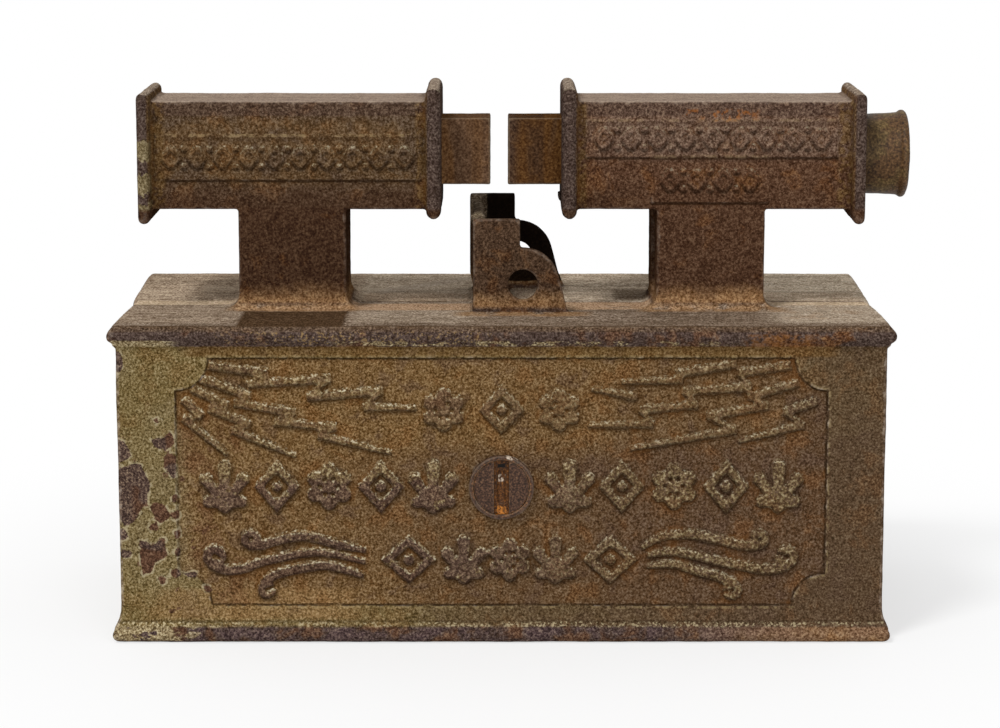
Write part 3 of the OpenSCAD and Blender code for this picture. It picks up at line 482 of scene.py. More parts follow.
@dataclass(frozen=True)
class BronzedIron:
    """Cast iron under old olive bronze paint, rubbed through, speckled and rusted."""

    olive: Tones = ("#34260e", "#554728", "#675534", "#756541", "#978767")
    umber: Tones = ("#2e2316", "#443323", "#4d3b2b", "#574634", "#715f4b")
    gilt: Tones = ("#38230f", "#553e21", "#674d2e", "#745c3c", "#967d5c")
    brown: Tones = ("#2c1d0f", "#463221", "#503b28", "#5a4634", "#725f4e")
    amber: Tones = ("#39250f", "#50391e", "#5d4425", "#6a5130", "#846b49")
    sand: Tones = ("#4a361d", "#6b5131", "#7a5e3b", "#896d49", "#a48863")
    rust: Tones = ("#381e0b", "#563114", "#6a3f1b", "#7d5125", "#9a6f3b")
    plum: Tones = ("#271b17", "#3c2c25", "#47362d", "#544137", "#715d4b")
    iron: Tones = ("#231916", "#382a26", "#463632", "#55433b", "#8a7560")
    scrap: Tones = ("#22180d", "#483823", "#665435", "#87744f", "#c9ba92")
    flank_highlight: Tones = ("#574830", "#776747", "#90805f", "#a79977", "#d6cdb5")
    wash: Tones = ("#40341d", "#625538", "#746548", "#837656", "#a09373")
    ochre: Tones = ("#573a1d", "#7a593a", "#8c6947", "#9e7b56", "#ba9970")
    pink: Tones = ("#674c36", "#947658", "#ac8b6d", "#bf9e7f", "#d9bd9d")
    dusk: Tones = ("#251d21", "#3b2e32", "#4c3b3f", "#5d4b4c", "#897266")
    cream: Tones = ("#3c2f1c", "#6d5c40", "#8a7857", "#a5946f", "#cfc3a1")
    maroon: Tones = ("#2b1c14", "#3f2a20", "#4e3428", "#5b4031", "#715644")
    post: Tones = ("#25160f", "#342217", "#3d291c", "#463224", "#5a4432")
    tube: Tones = ("#2a1c11", "#413020", "#4d3b2a", "#594838", "#746353")
    russet: Tones = ("#2e1b11", "#432d1e", "#4f3628", "#5b4231", "#765c48")
    dun: Tones = ("#3a271c", "#5c4a3e", "#6e5b4e", "#806d60", "#9f8d7d")
    web: Tones = ("#2b2317", "#504437", "#665948", "#7c6d5b", "#a6967f")
    rims: Tones = ("#251916", "#382c24", "#453732", "#4f413b", "#6e5f54")
    ear: Tones = ("#22160f", "#39291d", "#423124", "#4d3a2c", "#644f3d")
    front: Tones = ("#3e2d21", "#645241", "#7a6857", "#927f6d", "#bbac9b")
    back: Tones = ("#624c38", "#8a7561", "#a28d79", "#b7a48b", "#e1ccb1")
    light: Tones = ("#7e6c57", "#ad9b83", "#c7b49d", "#dccbb3", "#fdf1dd")
    shade: Tones = ("#21160d", "#3a291a", "#483321", "#55402b", "#70573e")
    crest: Tones = ("#86735a", "#ab9478", "#bfa78a", "#d0b99b", "#e8d6bd")
    lids: Tones = ("#5b4d3e", "#7e6d62", "#927f6f", "#a49281", "#bead9b")
    lid_rims: Tones = ("#4a3d32", "#746459", "#897867", "#9f8e7c", "#d3c3af")
    rubbed: Tones = ("#33261f", "#54463b", "#6b5b4e", "#85756a", "#b8aa9a")
    dirt_and_shade: tuple[tuple[float, str], ...] = ((0.42, "#20150b"), (0.62, "#553516"))
    painted_ear_shade: str = "#0f0a07"
    groove: str = "#1f140a"
    hollow: str = "#1f140c"
    step_highlight: str = "#9a8862"
    dust: str = "#b8a792"
    chip: str = "#a3977a"
    fleck: str = "#a88a5a"
    lip: str = "#b5a684"
    ember: str = "#96612a"
    spot: str = "#8d5423"
    seam: str = "#24160c"
    ridge: str = "#94805e"
    smear: str = "#a8998a"
    joint: str = "#43311f"

    panel: Panel = Panel()
    grain_size: float = 0.56
    box_top: Pair = (78.6, 80.0)
    posts_top: Pair = (104.0, 102.6)
    box_front: Pair = (-40.0, -41.0)
    tube_front: Pair = (-10.8, -11.6)
    rear_ear: Spans = ((-3.6, 20, 0.4), (-13, 22.5, 0.4), (80.2, 108, 0.4))
    front_ear: Spans = ((-9, 19, 1.0), (-23, 25, 1.0), (77, 105, 1.0))
    sleeve_web: Spans = ((-9.5, -3.6, 0.5), (-18, 24, 0.5), (96, 110, 0.5))
    ear_lump: Spans = ((-8, -2.6, 0.4), (-17.4, -8, 0.4), (99.6, 104, 0.4))
    pinks: tuple[Patch, ...] = (
        Patch((-37, -9, 4), (-13.5, -4, 2)),
        Patch((15, 38, 4), (-12, -2, 2)),
        Patch((-34, -9, 3), (2, 11, 3), 0.4),
        Patch((66, 90, 4), (1, 12, 3), 0.3),
    )
    feet: tuple[Patch, ...] = (
        Patch((-66, -38, 4), (-15.5, -11, 2)),
        Patch((38, 68, 6), (-16, -10, 2)),
        Patch((-8, 18, 6), (-24, -18, 2)),
    )
    right_stain: Patch = Patch((72, 86, 6), (-30, -8, 5), 0.4)
    shades: tuple[Patch, ...] = (
        Patch((-63.5, -39, 1.5), (-42, -17.5, 2), 0.95),
        Patch((38, 67, 4), (-38, -20, 4), 0.24),
        Patch((30, 37, 2.5), (5, 17, 4), 0.6),
    )

    def material(self) -> bpy.types.Material:
        """Draws up the finish of both castings.

        Returns:
            The material.
        """
        b = CastingBrush("bronzed_iron", self.grain_size)
        box = self.mouldings(b, self.patches(b, self.wall(b)))
        colour = b.mix(b.step(b.z, *self.box_top), box, self.tubes(b))
        colour = self.top(b, self.relief(b, colour))
        colour = self.wear(b, colour)
        rough = b.scaled(b.fine, 0.4, 0.42)
        return b.done(colour, rough, [(b.mottle, 0.12), (b.coarse, 0.14), (b.grain, 0.1)])

    def wear(self, b: CastingBrush, colour: Socket) -> Socket:
        """Rubbed edges, paler and also a painted highlight, grime with painted shade in the hollows, and
        painted shade on the rear ear.

        Args:
            b: The brush.
            colour: Colour so far.

        Returns:
            The colour.
        """
        # Rubbed edges: paler where the paint is worn, and also a painted highlight along the edges.
        edge = b.step(b.calc("ADD", b.painted("edge"), b.calc("MULTIPLY", b.coarse, 0.6)), 0.75, 1.05)
        marks = b.most(*(b.painted(kind.value) for kind in Relief))
        share = b.both(edge, b.step(marks, 0.3, 0.05), b.scaled(b.step(b.z, 75, 73), 0.2, 0.15))
        colour = b.lay(share, colour, self.rubbed, b.coarse)
        # Grime and painted shade: hollows and the feet of raised work are darkened.
        nook = b.step(b.calc("ADD", b.painted("nook"), b.calc("MULTIPLY", b.mottle, 0.4)), 0.5, 0.95)
        colour = b.mix(b.both(nook, 0.38), colour, b.grade(b.mottle, self.dirt_and_shade))
        # Painted shade: the rear ear, seen between the two ears, is painted near black.
        slope = b.step(b.scaled(b.x, 1.2, b.z), 116.5, 115.5)
        return b.lay(b.both(b.at(*self.rear_ear), slope, 0.94), colour, self.painted_ear_shade)

    def outline(self, b: CastingBrush) -> Socket:
        """How far a place on the front lies outside the sunk panel's outline.

        Args:
            b: The brush.

        Returns:
            Millimetres, below 0 inside the panel.
        """
        panel = self.panel
        dx = b.calc("SUBTRACT", b.calc("ABSOLUTE", b.x), panel.half)
        rise = b.calc("ABSOLUTE", b.calc("SUBTRACT", b.z, panel.middle))
        dz = b.calc("SUBTRACT", rise, (panel.high - panel.low) / 2)
        corner = b.calc("SQRT", b.calc("ADD", b.calc("MULTIPLY", dx, dx), b.calc("MULTIPLY", dz, dz)))
        return b.most(dx, dz, b.calc("SUBTRACT", panel.notch, corner))

    def wall(self, b: CastingBrush) -> Socket:
        """The box's walls: olive paint at the left that browns towards the right.

        Args:
            b: The brush.

        Returns:
            The colour.
        """
        gap = self.outline(b)
        front = b.step(b.y, *self.box_front)
        inside = b.both(b.step(gap, 0.2, -0.2), front)
        along = b.scaled(b.step(b.z, 44, 54), -65, b.x)
        right = b.step(b.scaled(b.cloud, 110, along), -30, 105)
        border = b.mix(right, b.tint(self.olive), b.tint(self.umber))
        ground = b.mix(right, b.tint(self.gilt), b.tint(self.brown))
        colour = b.mix(inside, border, ground)
        above = b.both(b.step(b.z, 70.6, 71.4), b.at(x=(-74, 78, 5)), front, 0.8)
        colour = b.lay(above, colour, self.amber)
        below = b.both(b.at(x=(-78, -42, 12), z=(6.5, 12.5, 1.5)), front, 0.7)
        colour = b.lay(below, colour, self.sand)
        amount = b.scaled(inside, 0.12, b.scaled(b.step(b.y, 20, 40), 0.3, 0.16))
        colour = b.lay(b.both(b.step(b.mottle, 0.5, 0.64), amount), colour, self.rust)
        colour = b.lay(b.both(b.step(b.mottle, 0.47, 0.36), amount, 1.3), colour, self.plum)
        low_left = b.both(b.step(b.x, -58, -68), b.step(b.z, 62, 50))
        colour = b.lay(b.both(inside, low_left, b.step(b.mottle, 0.46, 0.58), 0.4), colour, self.maroon)
        # Painted highlight: a pale line just outside the sunk panel, where the step's edge catches light.
        pale = b.both(b.within(gap, 0.4, 0.7, 0.3), front, b.step(b.coarse, 0.46, 0.58), 0.35)
        colour = b.lay(pale, colour, self.step_highlight)
        # A dark line: in the sunk panel's step it is painted shade; a fainter one runs low on the wall,
        # just above the foot.
        lines = b.most(b.within(gap, -0.2, 0.1, 0.25), b.both(b.at(z=(5.1, 5.4, 0.3)), 0.5))
        broken = b.scaled(b.step(b.coarse, 0.35, 0.55), 0.6, 0.4)
        return b.lay(b.both(lines, front, broken, 0.8), colour, self.groove)

    def relief(self, b: CastingBrush, under: Socket) -> Socket:
        """Raised work: dark iron tops or pale scraps of paint, with a painted highlight on flanks that face
        up and painted shade, with some grime, on flanks that face down.

        Args:
            b: The brush.
            under: Colour so far.

        Returns:
            The colour.
        """
        patch = b.noise(2.4, 3, 0.6, 12.0)
        salt = b.noise(0.7, 2, 0.7, 14.0)
        right = b.step(b.scaled(b.cloud, 70, b.x), 20, 75)
        scrap, iron = b.tint(self.scrap, salt), b.tint(self.iron)
        below = b.step(b.z, 84, 80)
        upper = b.both(b.step(b.scaled(patch, 6, b.z), 42.5, 44.5), b.step(b.z, 60, 50))
        kinds = {
            Relief.BOLT: (b.scaled(b.step(patch, 0.4, 0.56), 0.55, 0.2), 0.5),
            Relief.MOTIF: (b.both(b.most(upper, b.step(patch, 0.56, 0.66)), 0.7), 0.75),
            Relief.SCROLL: (b.both(b.step(patch, 0.6, 0.68), 0.5), 0.7),
        }
        cover = b.both(below, b.scaled(right, -0.2, 0.72), b.scaled(b.step(b.z, 47, 52), -0.3, 1))
        marks = []
        for kind, (left, most) in kinds.items():
            high = b.painted(kind.value)
            marks.append(high)
            paint = b.mix(b.most(b.both(right, most), left), iron, scrap)
            under = b.mix(b.both(b.step(high, 0.45, 0.85), cover), under, paint)
        raised = b.step(b.most(*marks), 0.04, 0.2)
        up = b.upward()
        # Painted highlight: pale flecks on flanks that face up.
        line = b.both(b.step(up, 0.22, 0.5), b.step(salt, 0.46, 0.58), b.scaled(right, -0.3, 0.7))
        under = b.lay(b.both(raised, line, b.scaled(below, 0.45, 0.5)), under, self.flank_highlight, salt)
        # Painted shade, with some grime: flanks that face down are darkened.
        return b.lay(b.both(raised, b.step(up, -0.04, -0.3), 0.45), under, self.hollow)

    def patches(self, b: CastingBrush, wall: Socket) -> Socket:
        """Flaked places near the left end: maroon or dark iron, each with a pale rim of paint.

        Args:
            b: The brush.
            wall: Colour of the wall.

        Returns:
            The colour.
        """
        gap = b.painted("flake")
        value = b.calc("ADD", gap, b.scaled(b.noise(2.0, 3, 0.62, 21.0), 1.3, -0.65))
        around = b.both(b.step(b.scaled(b.mottle, 8, gap), 9, 4.5), b.step(b.x, -70, -80))
        wall = b.lay(b.both(around, 0.4), wall, self.wash)
        crumbs = b.both(b.step(b.noise(2.6, 2, 0.5, 24.0), 0.66, 0.69), b.step(b.x, -66, -76))
        wall = b.lay(b.both(crumbs, b.step(b.z, 62, 52), 0.8), wall, self.maroon)
        rim = b.both(b.within(value, 0.05, 0.4, 0.15), b.step(b.coarse, 0.44, 0.56), 0.6)
        wall = b.lay(rim, wall, self.chip)
        dark = b.most(b.step(b.x, -88.4, -91.0), b.step(b.noise(7, 1, 0.5, 26.0), 0.52, 0.58))
        bare = b.mix(dark, b.tint(self.maroon), b.tint(self.iron))
        return b.mix(b.both(b.step(value, 0.1, -0.1), 0.95), wall, bare)

    def mouldings(self, b: CastingBrush, wall: Socket) -> Socket:
        """The two mouldings: dark bare iron with scraps of paint, most at the left.

        Args:
            b: The brush.
            wall: Colour of the wall.

        Returns:
            The colour.
        """
        cap, foot = b.step(b.z, 73.3, 73.9), b.step(b.z, 4.6, 3.6)
        salt = b.noise(0.62, 2, 0.6, 33.0)
        long = b.noise(3.2, 4, 0.65, 31.0, 0.5, b.stretched((0.5, 1.0, 1.0)))
        left = b.step(b.x, -58, -88)
        warm = b.both(b.step(b.mottle, 0.5, 0.62), b.scaled(b.step(b.x, 50, 80), 0.25, 0.3))
        metal = b.mix(warm, b.tint(self.rims), b.tint(self.rust))
        metal = b.lay(b.both(foot, b.step(b.mottle, 0.54, 0.42), 0.45), metal, self.dusk)
        metal = b.lay(b.both(foot, b.step(b.x, 35, 80), 0.5), metal, self.ochre)
        flecks = b.both(b.step(salt, 0.52, 0.6), b.step(b.coarse, 0.42, 0.56))
        gold = b.both(b.at(x=(-62, -8, 10), z=(74.4, 77.2, 0.6)), flecks, 0.42)
        metal = b.lay(gold, metal, self.fleck)
        dots = b.both(b.at(z=(74.0, 74.9, 0.3)), b.step(salt, 0.4, 0.5))
        dots = b.both(dots, b.at(x=(-30, 45, 15)), b.step(long, 0.5, 0.55))
        torn = b.both(b.step(b.scaled(left, 0.14, long), 0.57, 0.62), left, b.at(z=(1.0, 5.4, 0.8)))
        end = b.both(b.step(b.scaled(long, 10, b.x), -72, -76), b.at(z=(73.4, 75.0, 0.3)))
        rag = b.both(b.step(long, 0.6, 0.64), b.at(z=(2.4, 4.6, 0.6)), b.step(b.x, 84, 88), 0.7)
        metal = b.lay(b.both(b.most(dots, torn, end, rag), 0.85), metal, self.cream)
        colour = b.mix(b.most(cap, foot), wall, metal)
        ledge = b.both(b.at(z=(4.2, 4.9, 0.4)), b.step(salt, 0.5, 0.6), b.step(long, 0.38, 0.52))
        colour = b.lay(b.both(ledge, b.scaled(left, 0.3, 0.6)), colour, self.lip)
        blotch = b.at(x=(61, 73, 4), z=(73.8, 76.4, 0.8))
        return b.lay(b.both(blotch, b.step(b.coarse, 0.44, 0.58), 0.3), colour, self.ember)

    def tubes(self, b: CastingBrush) -> Socket:
        """Posts, tubes, flanges and ears: dark brown with some gold left on the tubes.

        Args:
            b: The brush.

        Returns:
            The colour.
        """
        far = b.calc("ABSOLUTE", b.x)
        colour = b.mix(b.step(b.x, -10, 20), b.tint(self.tube), b.tint(self.russet))
        colour = b.lay(b.both(b.step(b.mottle, 0.5, 0.62), 0.3), colour, self.rust)
        strip = b.both(b.at(z=(110.5, 124, 3)), b.step(b.x, -10, -30), b.step(b.mottle, 0.38, 0.5))
        colour = b.lay(b.both(strip, 0.35), colour, self.amber)
        colour = b.lay(b.both(b.step(b.x, 10, 30), b.step(b.z, 114, 118), 0.4), colour, self.dun)
        colour = b.lay(b.both(b.at(z=(126.6, 129.4, 0.7)), 0.6), colour, self.plum)
        low = b.both(b.step(b.scaled(b.mottle, 8, b.z), 116, 109), 0.8)
        colour = b.mix(low, colour, self.deep(b))
        spots = b.at(x=(46, 62, 3), z=(125.4, 127.6, 0.8))
        colour = b.lay(b.both(spots, b.step(b.coarse, 0.5, 0.62), 0.6), colour, self.spot)
        colour = self.plates(b, colour)
        corner = b.most(b.within(far, 84.6, 87.4, 1.4), b.within(far, 18.4, 20.6, 1.2))
        colour = b.lay(b.both(corner, b.step(b.coarse, 0.4, 0.55), 0.7), colour, self.amber)
        rims = b.most(b.step(far, 87.3, 88.0), b.step(far, 18.8, 18.2))
        colour = b.lay(b.both(rims, 0.94), colour, self.rims)
        ragged = b.scaled(b.mottle, 5, b.scaled(b.coarse, 6, b.calc("SUBTRACT", b.z, 5.5)))
        bands = (b.within(ragged, 116, 120.4, 0.4), b.within(ragged, 107.2, 111.6, 0.4))
        old = b.most(*bands, b.step(ragged, 105.2, 104.6))
        colour = b.lay(b.both(old, b.step(b.x, -86.8, -87.6), 0.8), colour, self.wash)
        colour = b.mix(b.step(b.z, *self.posts_top), colour, self.posts(b))
        return b.lay(b.both(b.at(*self.sleeve_web), 0.8), colour, self.web)

    def plates(self, b: CastingBrush, colour: Socket) -> Socket:
        """Painted shade along the lower edges of the low plates on the tubes' fronts and just under their
        tops, and a painted highlight on their top ledges.

        Args:
            b: The brush.
            colour: Colour so far.

        Returns:
            The colour.
        """
        front = b.step(b.y, *self.tube_front)
        for x0, z0, x1, z1 in TubeFronts().plates:
            across = b.both(b.within(b.x, x0, x1, 0.4), front)
            under = b.within(b.z, z0 - 0.4, z0 + 0.1, 0.25)
            # Painted shade along the plate's lower edge and just under its top.
            seam = b.most(under, b.both(b.within(b.z, z1 - 1.2, z1 - 0.5, 0.4), 0.4))
            colour = b.lay(b.both(across, seam, 0.65), colour, self.seam)
            # Painted highlight on the plate's top ledge.
            ledge = b.both(across, b.within(b.z, z1 - 0.2, z1 + 0.3, 0.25), b.step(b.coarse, 0.44, 0.58))
            colour = b.lay(b.both(ledge, 0.4 if x0 < 0 else 0.2), colour, self.ridge)
        return colour

    def deep(self, b: CastingBrush) -> Socket:
        """Dark brown of the posts and the tubes' undersides, redder at the right."""
        return b.lay(b.both(b.step(b.x, 25, 40), 0.6), b.tint(self.post), self.russet)

    def posts(self, b: CastingBrush) -> Socket:
        """What stands between the top plate and the tubes: the posts and the coin bracket.

        Args:
            b: The brush.

        Returns:
            The colour.
        """
        colour = b.lay(b.at(*self.front_ear), self.deep(b), self.ear)
        colour = b.lay(b.both(b.step(b.mottle, 0.54, 0.66), 0.22), colour, self.rust)
        foot = b.both(b.step(b.scaled(b.mottle, 10, b.z), 90, 83.5), 0.85)
        colour = b.lay(foot, colour, self.ochre)
        lump = b.both(b.at(*self.ear_lump), b.step(b.coarse, 0.36, 0.5), 0.85)
        return b.lay(lump, colour, self.wash)

    def top(self, b: CastingBrush, colour: Socket) -> Socket:
        """Upper faces: the top plate and the lids of the tubes, whose tones are lightened as a painted
        sheen.

        Args:
            b: The brush.
            colour: Colour so far.

        Returns:
            The colour.
        """
        smear = b.noise(1.6, 4, 0.7, 41.0, 0.8, b.stretched((0.35, 1.0, 1.0)))
        worn = b.calc("ADD", b.calc("MULTIPLY", smear, 0.28), b.calc("MULTIPLY", b.fine, 0.72))
        worn = b.scaled(b.calc("SUBTRACT", worn, 0.5), 1.25, 0.5)
        faint = b.scaled(b.calc("SUBTRACT", worn, 0.5), 0.6, 0.5)
        far = b.calc("ABSOLUTE", b.x)
        rims = b.most(b.step(far, 86.8, 87.4), b.step(far, 19.4, 18.8))
        # The lids' tones are lightened as a painted sheen.
        lids = b.lay(rims, b.tint(self.lids, faint), self.lid_rims)
        up = b.step(b.upward(), 0.5, 0.85)
        near, lid = b.at(z=(76.4, 80.6, 0.8)), b.step(b.z, 128.4, 129.2)
        return b.mix(b.both(up, lid), b.mix(b.both(up, near), colour, self.plate(b, worn, far)), lids)

    def plate(self, b: CastingBrush, worn: Socket, far: Socket) -> Socket:
        """The top plate: dusty grey brown, brushed along the bank, with rust round what stands on it. Its
        tones are lightened as a painted sheen, its rear has painted light where the posts and tubes shade
        it, and it has painted shade by the posts and along its front edge.

        Args:
            b: The brush.
            worn: The grain, brushed along the bank.
            far: Distance from the bank's middle.

        Returns:
            The colour.
        """
        # Painted light: lighter tones on the plate's rear right of the middle and in the bay between the
        # left post and the bracket, offsetting the shade of the posts and tubes there.
        right = b.most(b.both(b.step(b.x, 5, 20), 0.6), b.step(b.x, 62, 68))
        painted_light_share = b.most(right, b.both(b.at(x=(-35, -8, 3)), 0.55))
        back = b.mix(painted_light_share, b.tint(self.back, worn), b.tint(self.light, worn))
        rear = b.step(b.scaled(b.mottle, 8, b.y), 2, 8)
        sides = b.most(b.step(far, 60, 72), b.both(b.at(x=(-34, -8, 6)), 0.8))
        behind = b.most(rear, b.both(sides, b.step(b.y, -39, -34), 0.5))
        # Front and rear tones of the plate are lightened as a painted sheen.
        plate = b.mix(behind, b.tint(self.front, worn), back)
        stripe = b.noise(5, 3, 0.6, 43.0, 0.4, b.stretched((0.18, 1.0, 1.0)))
        plate = b.lay(b.both(b.step(stripe, 0.5, 0.62), 0.3), plate, self.umber, worn)
        dust = b.both(b.step(stripe, 0.48, 0.38), rear, b.step(b.coarse, 0.4, 0.56), 0.5)
        plate = b.lay(dust, plate, self.dust)
        pink = b.strongest(*self.pinks)
        plate = b.lay(b.both(pink, b.step(b.mottle, 0.3, 0.45), 0.95), plate, self.pink)
        stain = b.both(b.strongest(self.right_stain), b.step(b.mottle, 0.5, 0.6))
        feet = b.most(b.strongest(*self.feet), stain)
        plate = b.lay(b.both(feet, b.step(b.mottle, 0.34, 0.5), 0.8), plate, self.ochre)
        # Painted shade: dark patches by the posts and along the plate's front edge.
        edge = b.both(b.step(b.y, -40.4, -42.2), 0.75)
        plate = b.lay(b.most(b.strongest(*self.shades), edge), plate, self.shade)
        left = b.both(b.at(y=(-4.5, 1.2, 1.2)), b.step(b.x, -64, -70))
        right = b.both(b.at(y=(-5.6, -0.8, 0.8)), b.step(b.x, 66, 70))
        plate = b.lay(b.both(b.most(left, right), 0.95), plate, self.crest, worn)
        streak = b.within(b.scaled(b.x, -0.91, b.y), 41, 45, 3)
        plate = b.lay(b.both(streak, b.at(x=(-30, -6, 3)), 0.35), plate, self.smear)
        bare = b.most(b.at(x=(-33, -9, 1)), b.step(b.x, 65, 68))
        return b.lay(b.both(b.at(y=(-0.5, 0.5, 0.4)), bare, 0.85), plate, self.joint)


@dataclass(frozen=True)
class PlainFinish:
    """A finish of three mixed tones with grain, spots of rust and a roughness of its own."""

    name: str
    tones: tuple[tuple[float, str], ...]
    spotted: float
    rough: Pair
    metallic: float
    height: float
    spots: tuple[tuple[float, str], ...] = ((0.35, "#4a2c18"), (0.65, "#8a5628"))
    grain: float = 0.6
    cloud: float = 6.0

    def material(self) -> bpy.types.Material:
        """Draws up the finish.

        Returns:
            The material.
        """
        b = Brush(self.name)
        fine = b.noise(self.grain, 3, 0.6)
        cloud = b.noise(self.cloud, 4, 0.6, 4.0, 0.3)
        value = b.calc("ADD", b.calc("MULTIPLY", fine, 0.5), b.calc("MULTIPLY", cloud, 0.5))
        spot = b.both(b.step(cloud, 0.5, 0.64), self.spotted)
        colour = b.mix(spot, b.grade(value, self.tones), b.grade(fine, self.spots))
        rough = b.scaled(value, self.rough[1], self.rough[0])
        return b.done(colour, rough, [(cloud, self.height), (fine, self.height)], self.metallic)


@dataclass(frozen=True)
class RustyIron:
    """Thin rusted iron with upright bands, golden by the flanges and dark at the coin gap."""

    base: Tones = ("#23150b", "#372417", "#422d1c", "#4d3623", "#654a34")
    gold: Tones = ("#341d0b", "#492d15", "#57391c", "#664625", "#7d5a35")
    dusk: Tones = ("#1f1510", "#33251d", "#403026", "#4e3c30", "#6b5748")
    left: Tones = ("#4a2f1a", "#694b33", "#785940", "#88684d", "#a58465")
    rubbed: str = "#80705c"

    def material(self) -> bpy.types.Material:
        """Draws up the finish.

        Returns:
            The material.
        """
        b = Brush("rusty_iron")
        b.fine = b.scaled(b.noise(0.6, 3, 0.65), 0.65, 0.175)
        cloud = b.noise(7, 4, 0.6, 4.0, 0.3)
        band = b.noise(4.5, 2, 0.5, 6.0, 0.0, b.stretched((1.0, 1.0, 0.12)))
        sleeve = b.step(b.z, 98, 100)
        far = b.calc("ABSOLUTE", b.calc("ADD", b.x, 0.6))
        ends = b.both(b.within(far, 12.0, 16.0, 1.5), sleeve, 0.8)
        gold = b.most(b.both(b.step(band, 0.48, 0.62), 0.6), ends)
        dusk = b.most(b.both(b.step(band, 0.47, 0.36), 0.7), b.both(b.step(far, 5.5, 3.0), sleeve, 0.75))
        colour = b.lay(gold, b.tint(self.base), self.gold)
        colour = b.lay(dusk, colour, self.dusk)
        colour = b.lay(b.both(b.step(cloud, 0.54, 0.66), 0.35), colour, self.gold)
        colour = b.lay(b.both(b.step(b.x, 0, -3), sleeve, 0.26), colour, self.left)
        colour = b.lay(b.both(b.step(b.painted("edge"), 0.4, 0.9), 0.4), colour, self.rubbed)
        return b.done(colour, b.scaled(b.fine, 0.4, 0.42), [(cloud, 0.1), (b.fine, 0.08)])


@dataclass(frozen=True)
class OliveBrass:
    """The eyepiece: brown olive metal, streaked round about, with painted shade where it leaves the flange.
    """

    base: Tones = ("#221308", "#3c2816", "#4b351d", "#5a4028", "#755a3b")
    dark: Tones = ("#1c1108", "#2d1d0e", "#382714", "#46331d", "#614a2d")
    olive: Tones = ("#33260f", "#503f21", "#604e2c", "#705d3a", "#8b7852")
    rubbed: str = "#7f6d50"
    specular: float = 0.16

    def material(self) -> bpy.types.Material:
        """Draws up the finish.

        Returns:
            The material.
        """
        b = Brush("olive_brass")
        b.fine = b.scaled(b.noise(0.6, 3, 0.6), 0.7, 0.15)
        cloud = b.noise(5.5, 4, 0.6, 4.0, 0.5)
        streak = b.noise(2.2, 3, 0.6, 6.0, 0.2, b.stretched((1.0, 0.22, 0.22)))
        colour = b.lay(b.both(b.step(streak, 0.48, 0.38), 0.7), b.tint(self.base), self.dark)
        colour = b.lay(b.both(b.step(cloud, 0.5, 0.6), 0.6), colour, self.olive)
        # Painted shade: darker where the eyepiece leaves the flange.
        colour = b.lay(b.both(b.step(b.x, 95.5, 91.5), 0.75), colour, self.dark)
        colour = b.lay(b.both(b.step(b.painted("edge"), 0.4, 0.9), 0.35), colour, self.rubbed)
        rough = b.scaled(cloud, 0.3, 0.38)
        return b.done(colour, rough, [(cloud, 0.12), (b.fine, 0.06)], specular=self.specular)


@dataclass(frozen=True)
class DarkLock:
    """The lock: dark iron with fine pale grains, rust in the key groove and round the plug."""

    face: Tones = ("#1e130e", "#332319", "#3f2b20", "#4b3428", "#6c513b")
    rust: Tones = ("#26150a", "#3f250f", "#4f2f13", "#623b19", "#8a5826")
    ember: str = "#b4712c"
    painted_glint: str = "#cdbda9"
    deep: str = "#2a170a"
    keyway_shade: str = "#060302"
    rubbed: str = "#7d6d5c"
    specular: float = 0.15
    middle: float = 38.8
    front: float = -43.4

    def material(self) -> bpy.types.Material:
        """Draws up the finish.

        Returns:
            The material.
        """
        b = Brush("dark_lock")
        b.fine = b.noise(0.5, 3, 0.7)
        cloud = b.noise(2.6, 3, 0.6, 4.0)
        ragged = b.noise(1.1, 2, 0.6, 9.0)
        rise = b.calc("SUBTRACT", b.z, self.middle)
        across = b.calc("ABSOLUTE", b.x)
        out = b.calc("SQRT", b.calc("ADD", b.calc("MULTIPLY", b.x, b.x), b.calc("MULTIPLY", rise, rise)))
        ring = b.both(b.within(out, 6.6, 7.15, 0.15), b.step(cloud, 0.38, 0.5), 0.75)
        sunk = b.at(y=(self.front + 0.25, -30, 0.1))
        groove = b.both(b.step(across, 1.95, 1.7), sunk, b.step(out, 7.0, 6.7))
        colour = b.lay(b.most(ring, b.both(groove, 0.95)), b.tint(self.face), self.rust)
        wide = b.step(b.calc("ADD", across, b.calc("MULTIPLY", rise, 0.35)), -0.6, -1.0)
        ember = b.both(groove, b.within(rise, -6.8, -4.9, 0.3), wide, b.step(b.fine, 0.4, 0.55))
        colour = b.lay(ember, colour, self.ember)
        # Painted highlights: a ragged glint in the key groove and another on the rim's upper right.
        glint = b.both(groove, b.within(rise, 1.4, 2.8, 0.4), b.at(x=(-0.6, 0.8, 0.3)))
        rim = b.both(b.within(rise, 6.2, 7.9, 0.4), b.at(x=(1.4, 3.8, 0.5)), b.step(out, 7.2, 7.5))
        painted_glint = b.most(b.both(glint, b.step(ragged, 0.46, 0.54)), b.both(rim, b.step(ragged, 0.44, 0.52)))
        colour = b.lay(b.both(painted_glint, 0.8), colour, self.painted_glint)
        lines = b.noise(0.5, 2, 0.5, 11.0, 0.0, b.stretched((1.0, 1.0, 0.1)))
        deep = b.both(groove, b.step(lines, 0.52, 0.42), b.step(across, 1.5, 1.2), 0.6)
        colour = b.lay(deep, colour, self.deep)
        # Painted shade: a near black mark high in the key groove stands for the dark keyway.
        keyway_shade = b.both(groove, b.within(rise, 4.9, 5.6, 0.15), b.step(across, 1.0, 0.8))
        colour = b.lay(keyway_shade, colour, self.keyway_shade)
        colour = b.lay(b.both(b.step(b.painted("edge"), 0.45, 0.95), 0.3), colour, self.rubbed)
        rough = b.scaled(b.fine, 0.3, 0.4)
        return b.done(colour, rough, [(cloud, 0.06), (b.fine, 0.06)], specular=self.specular)


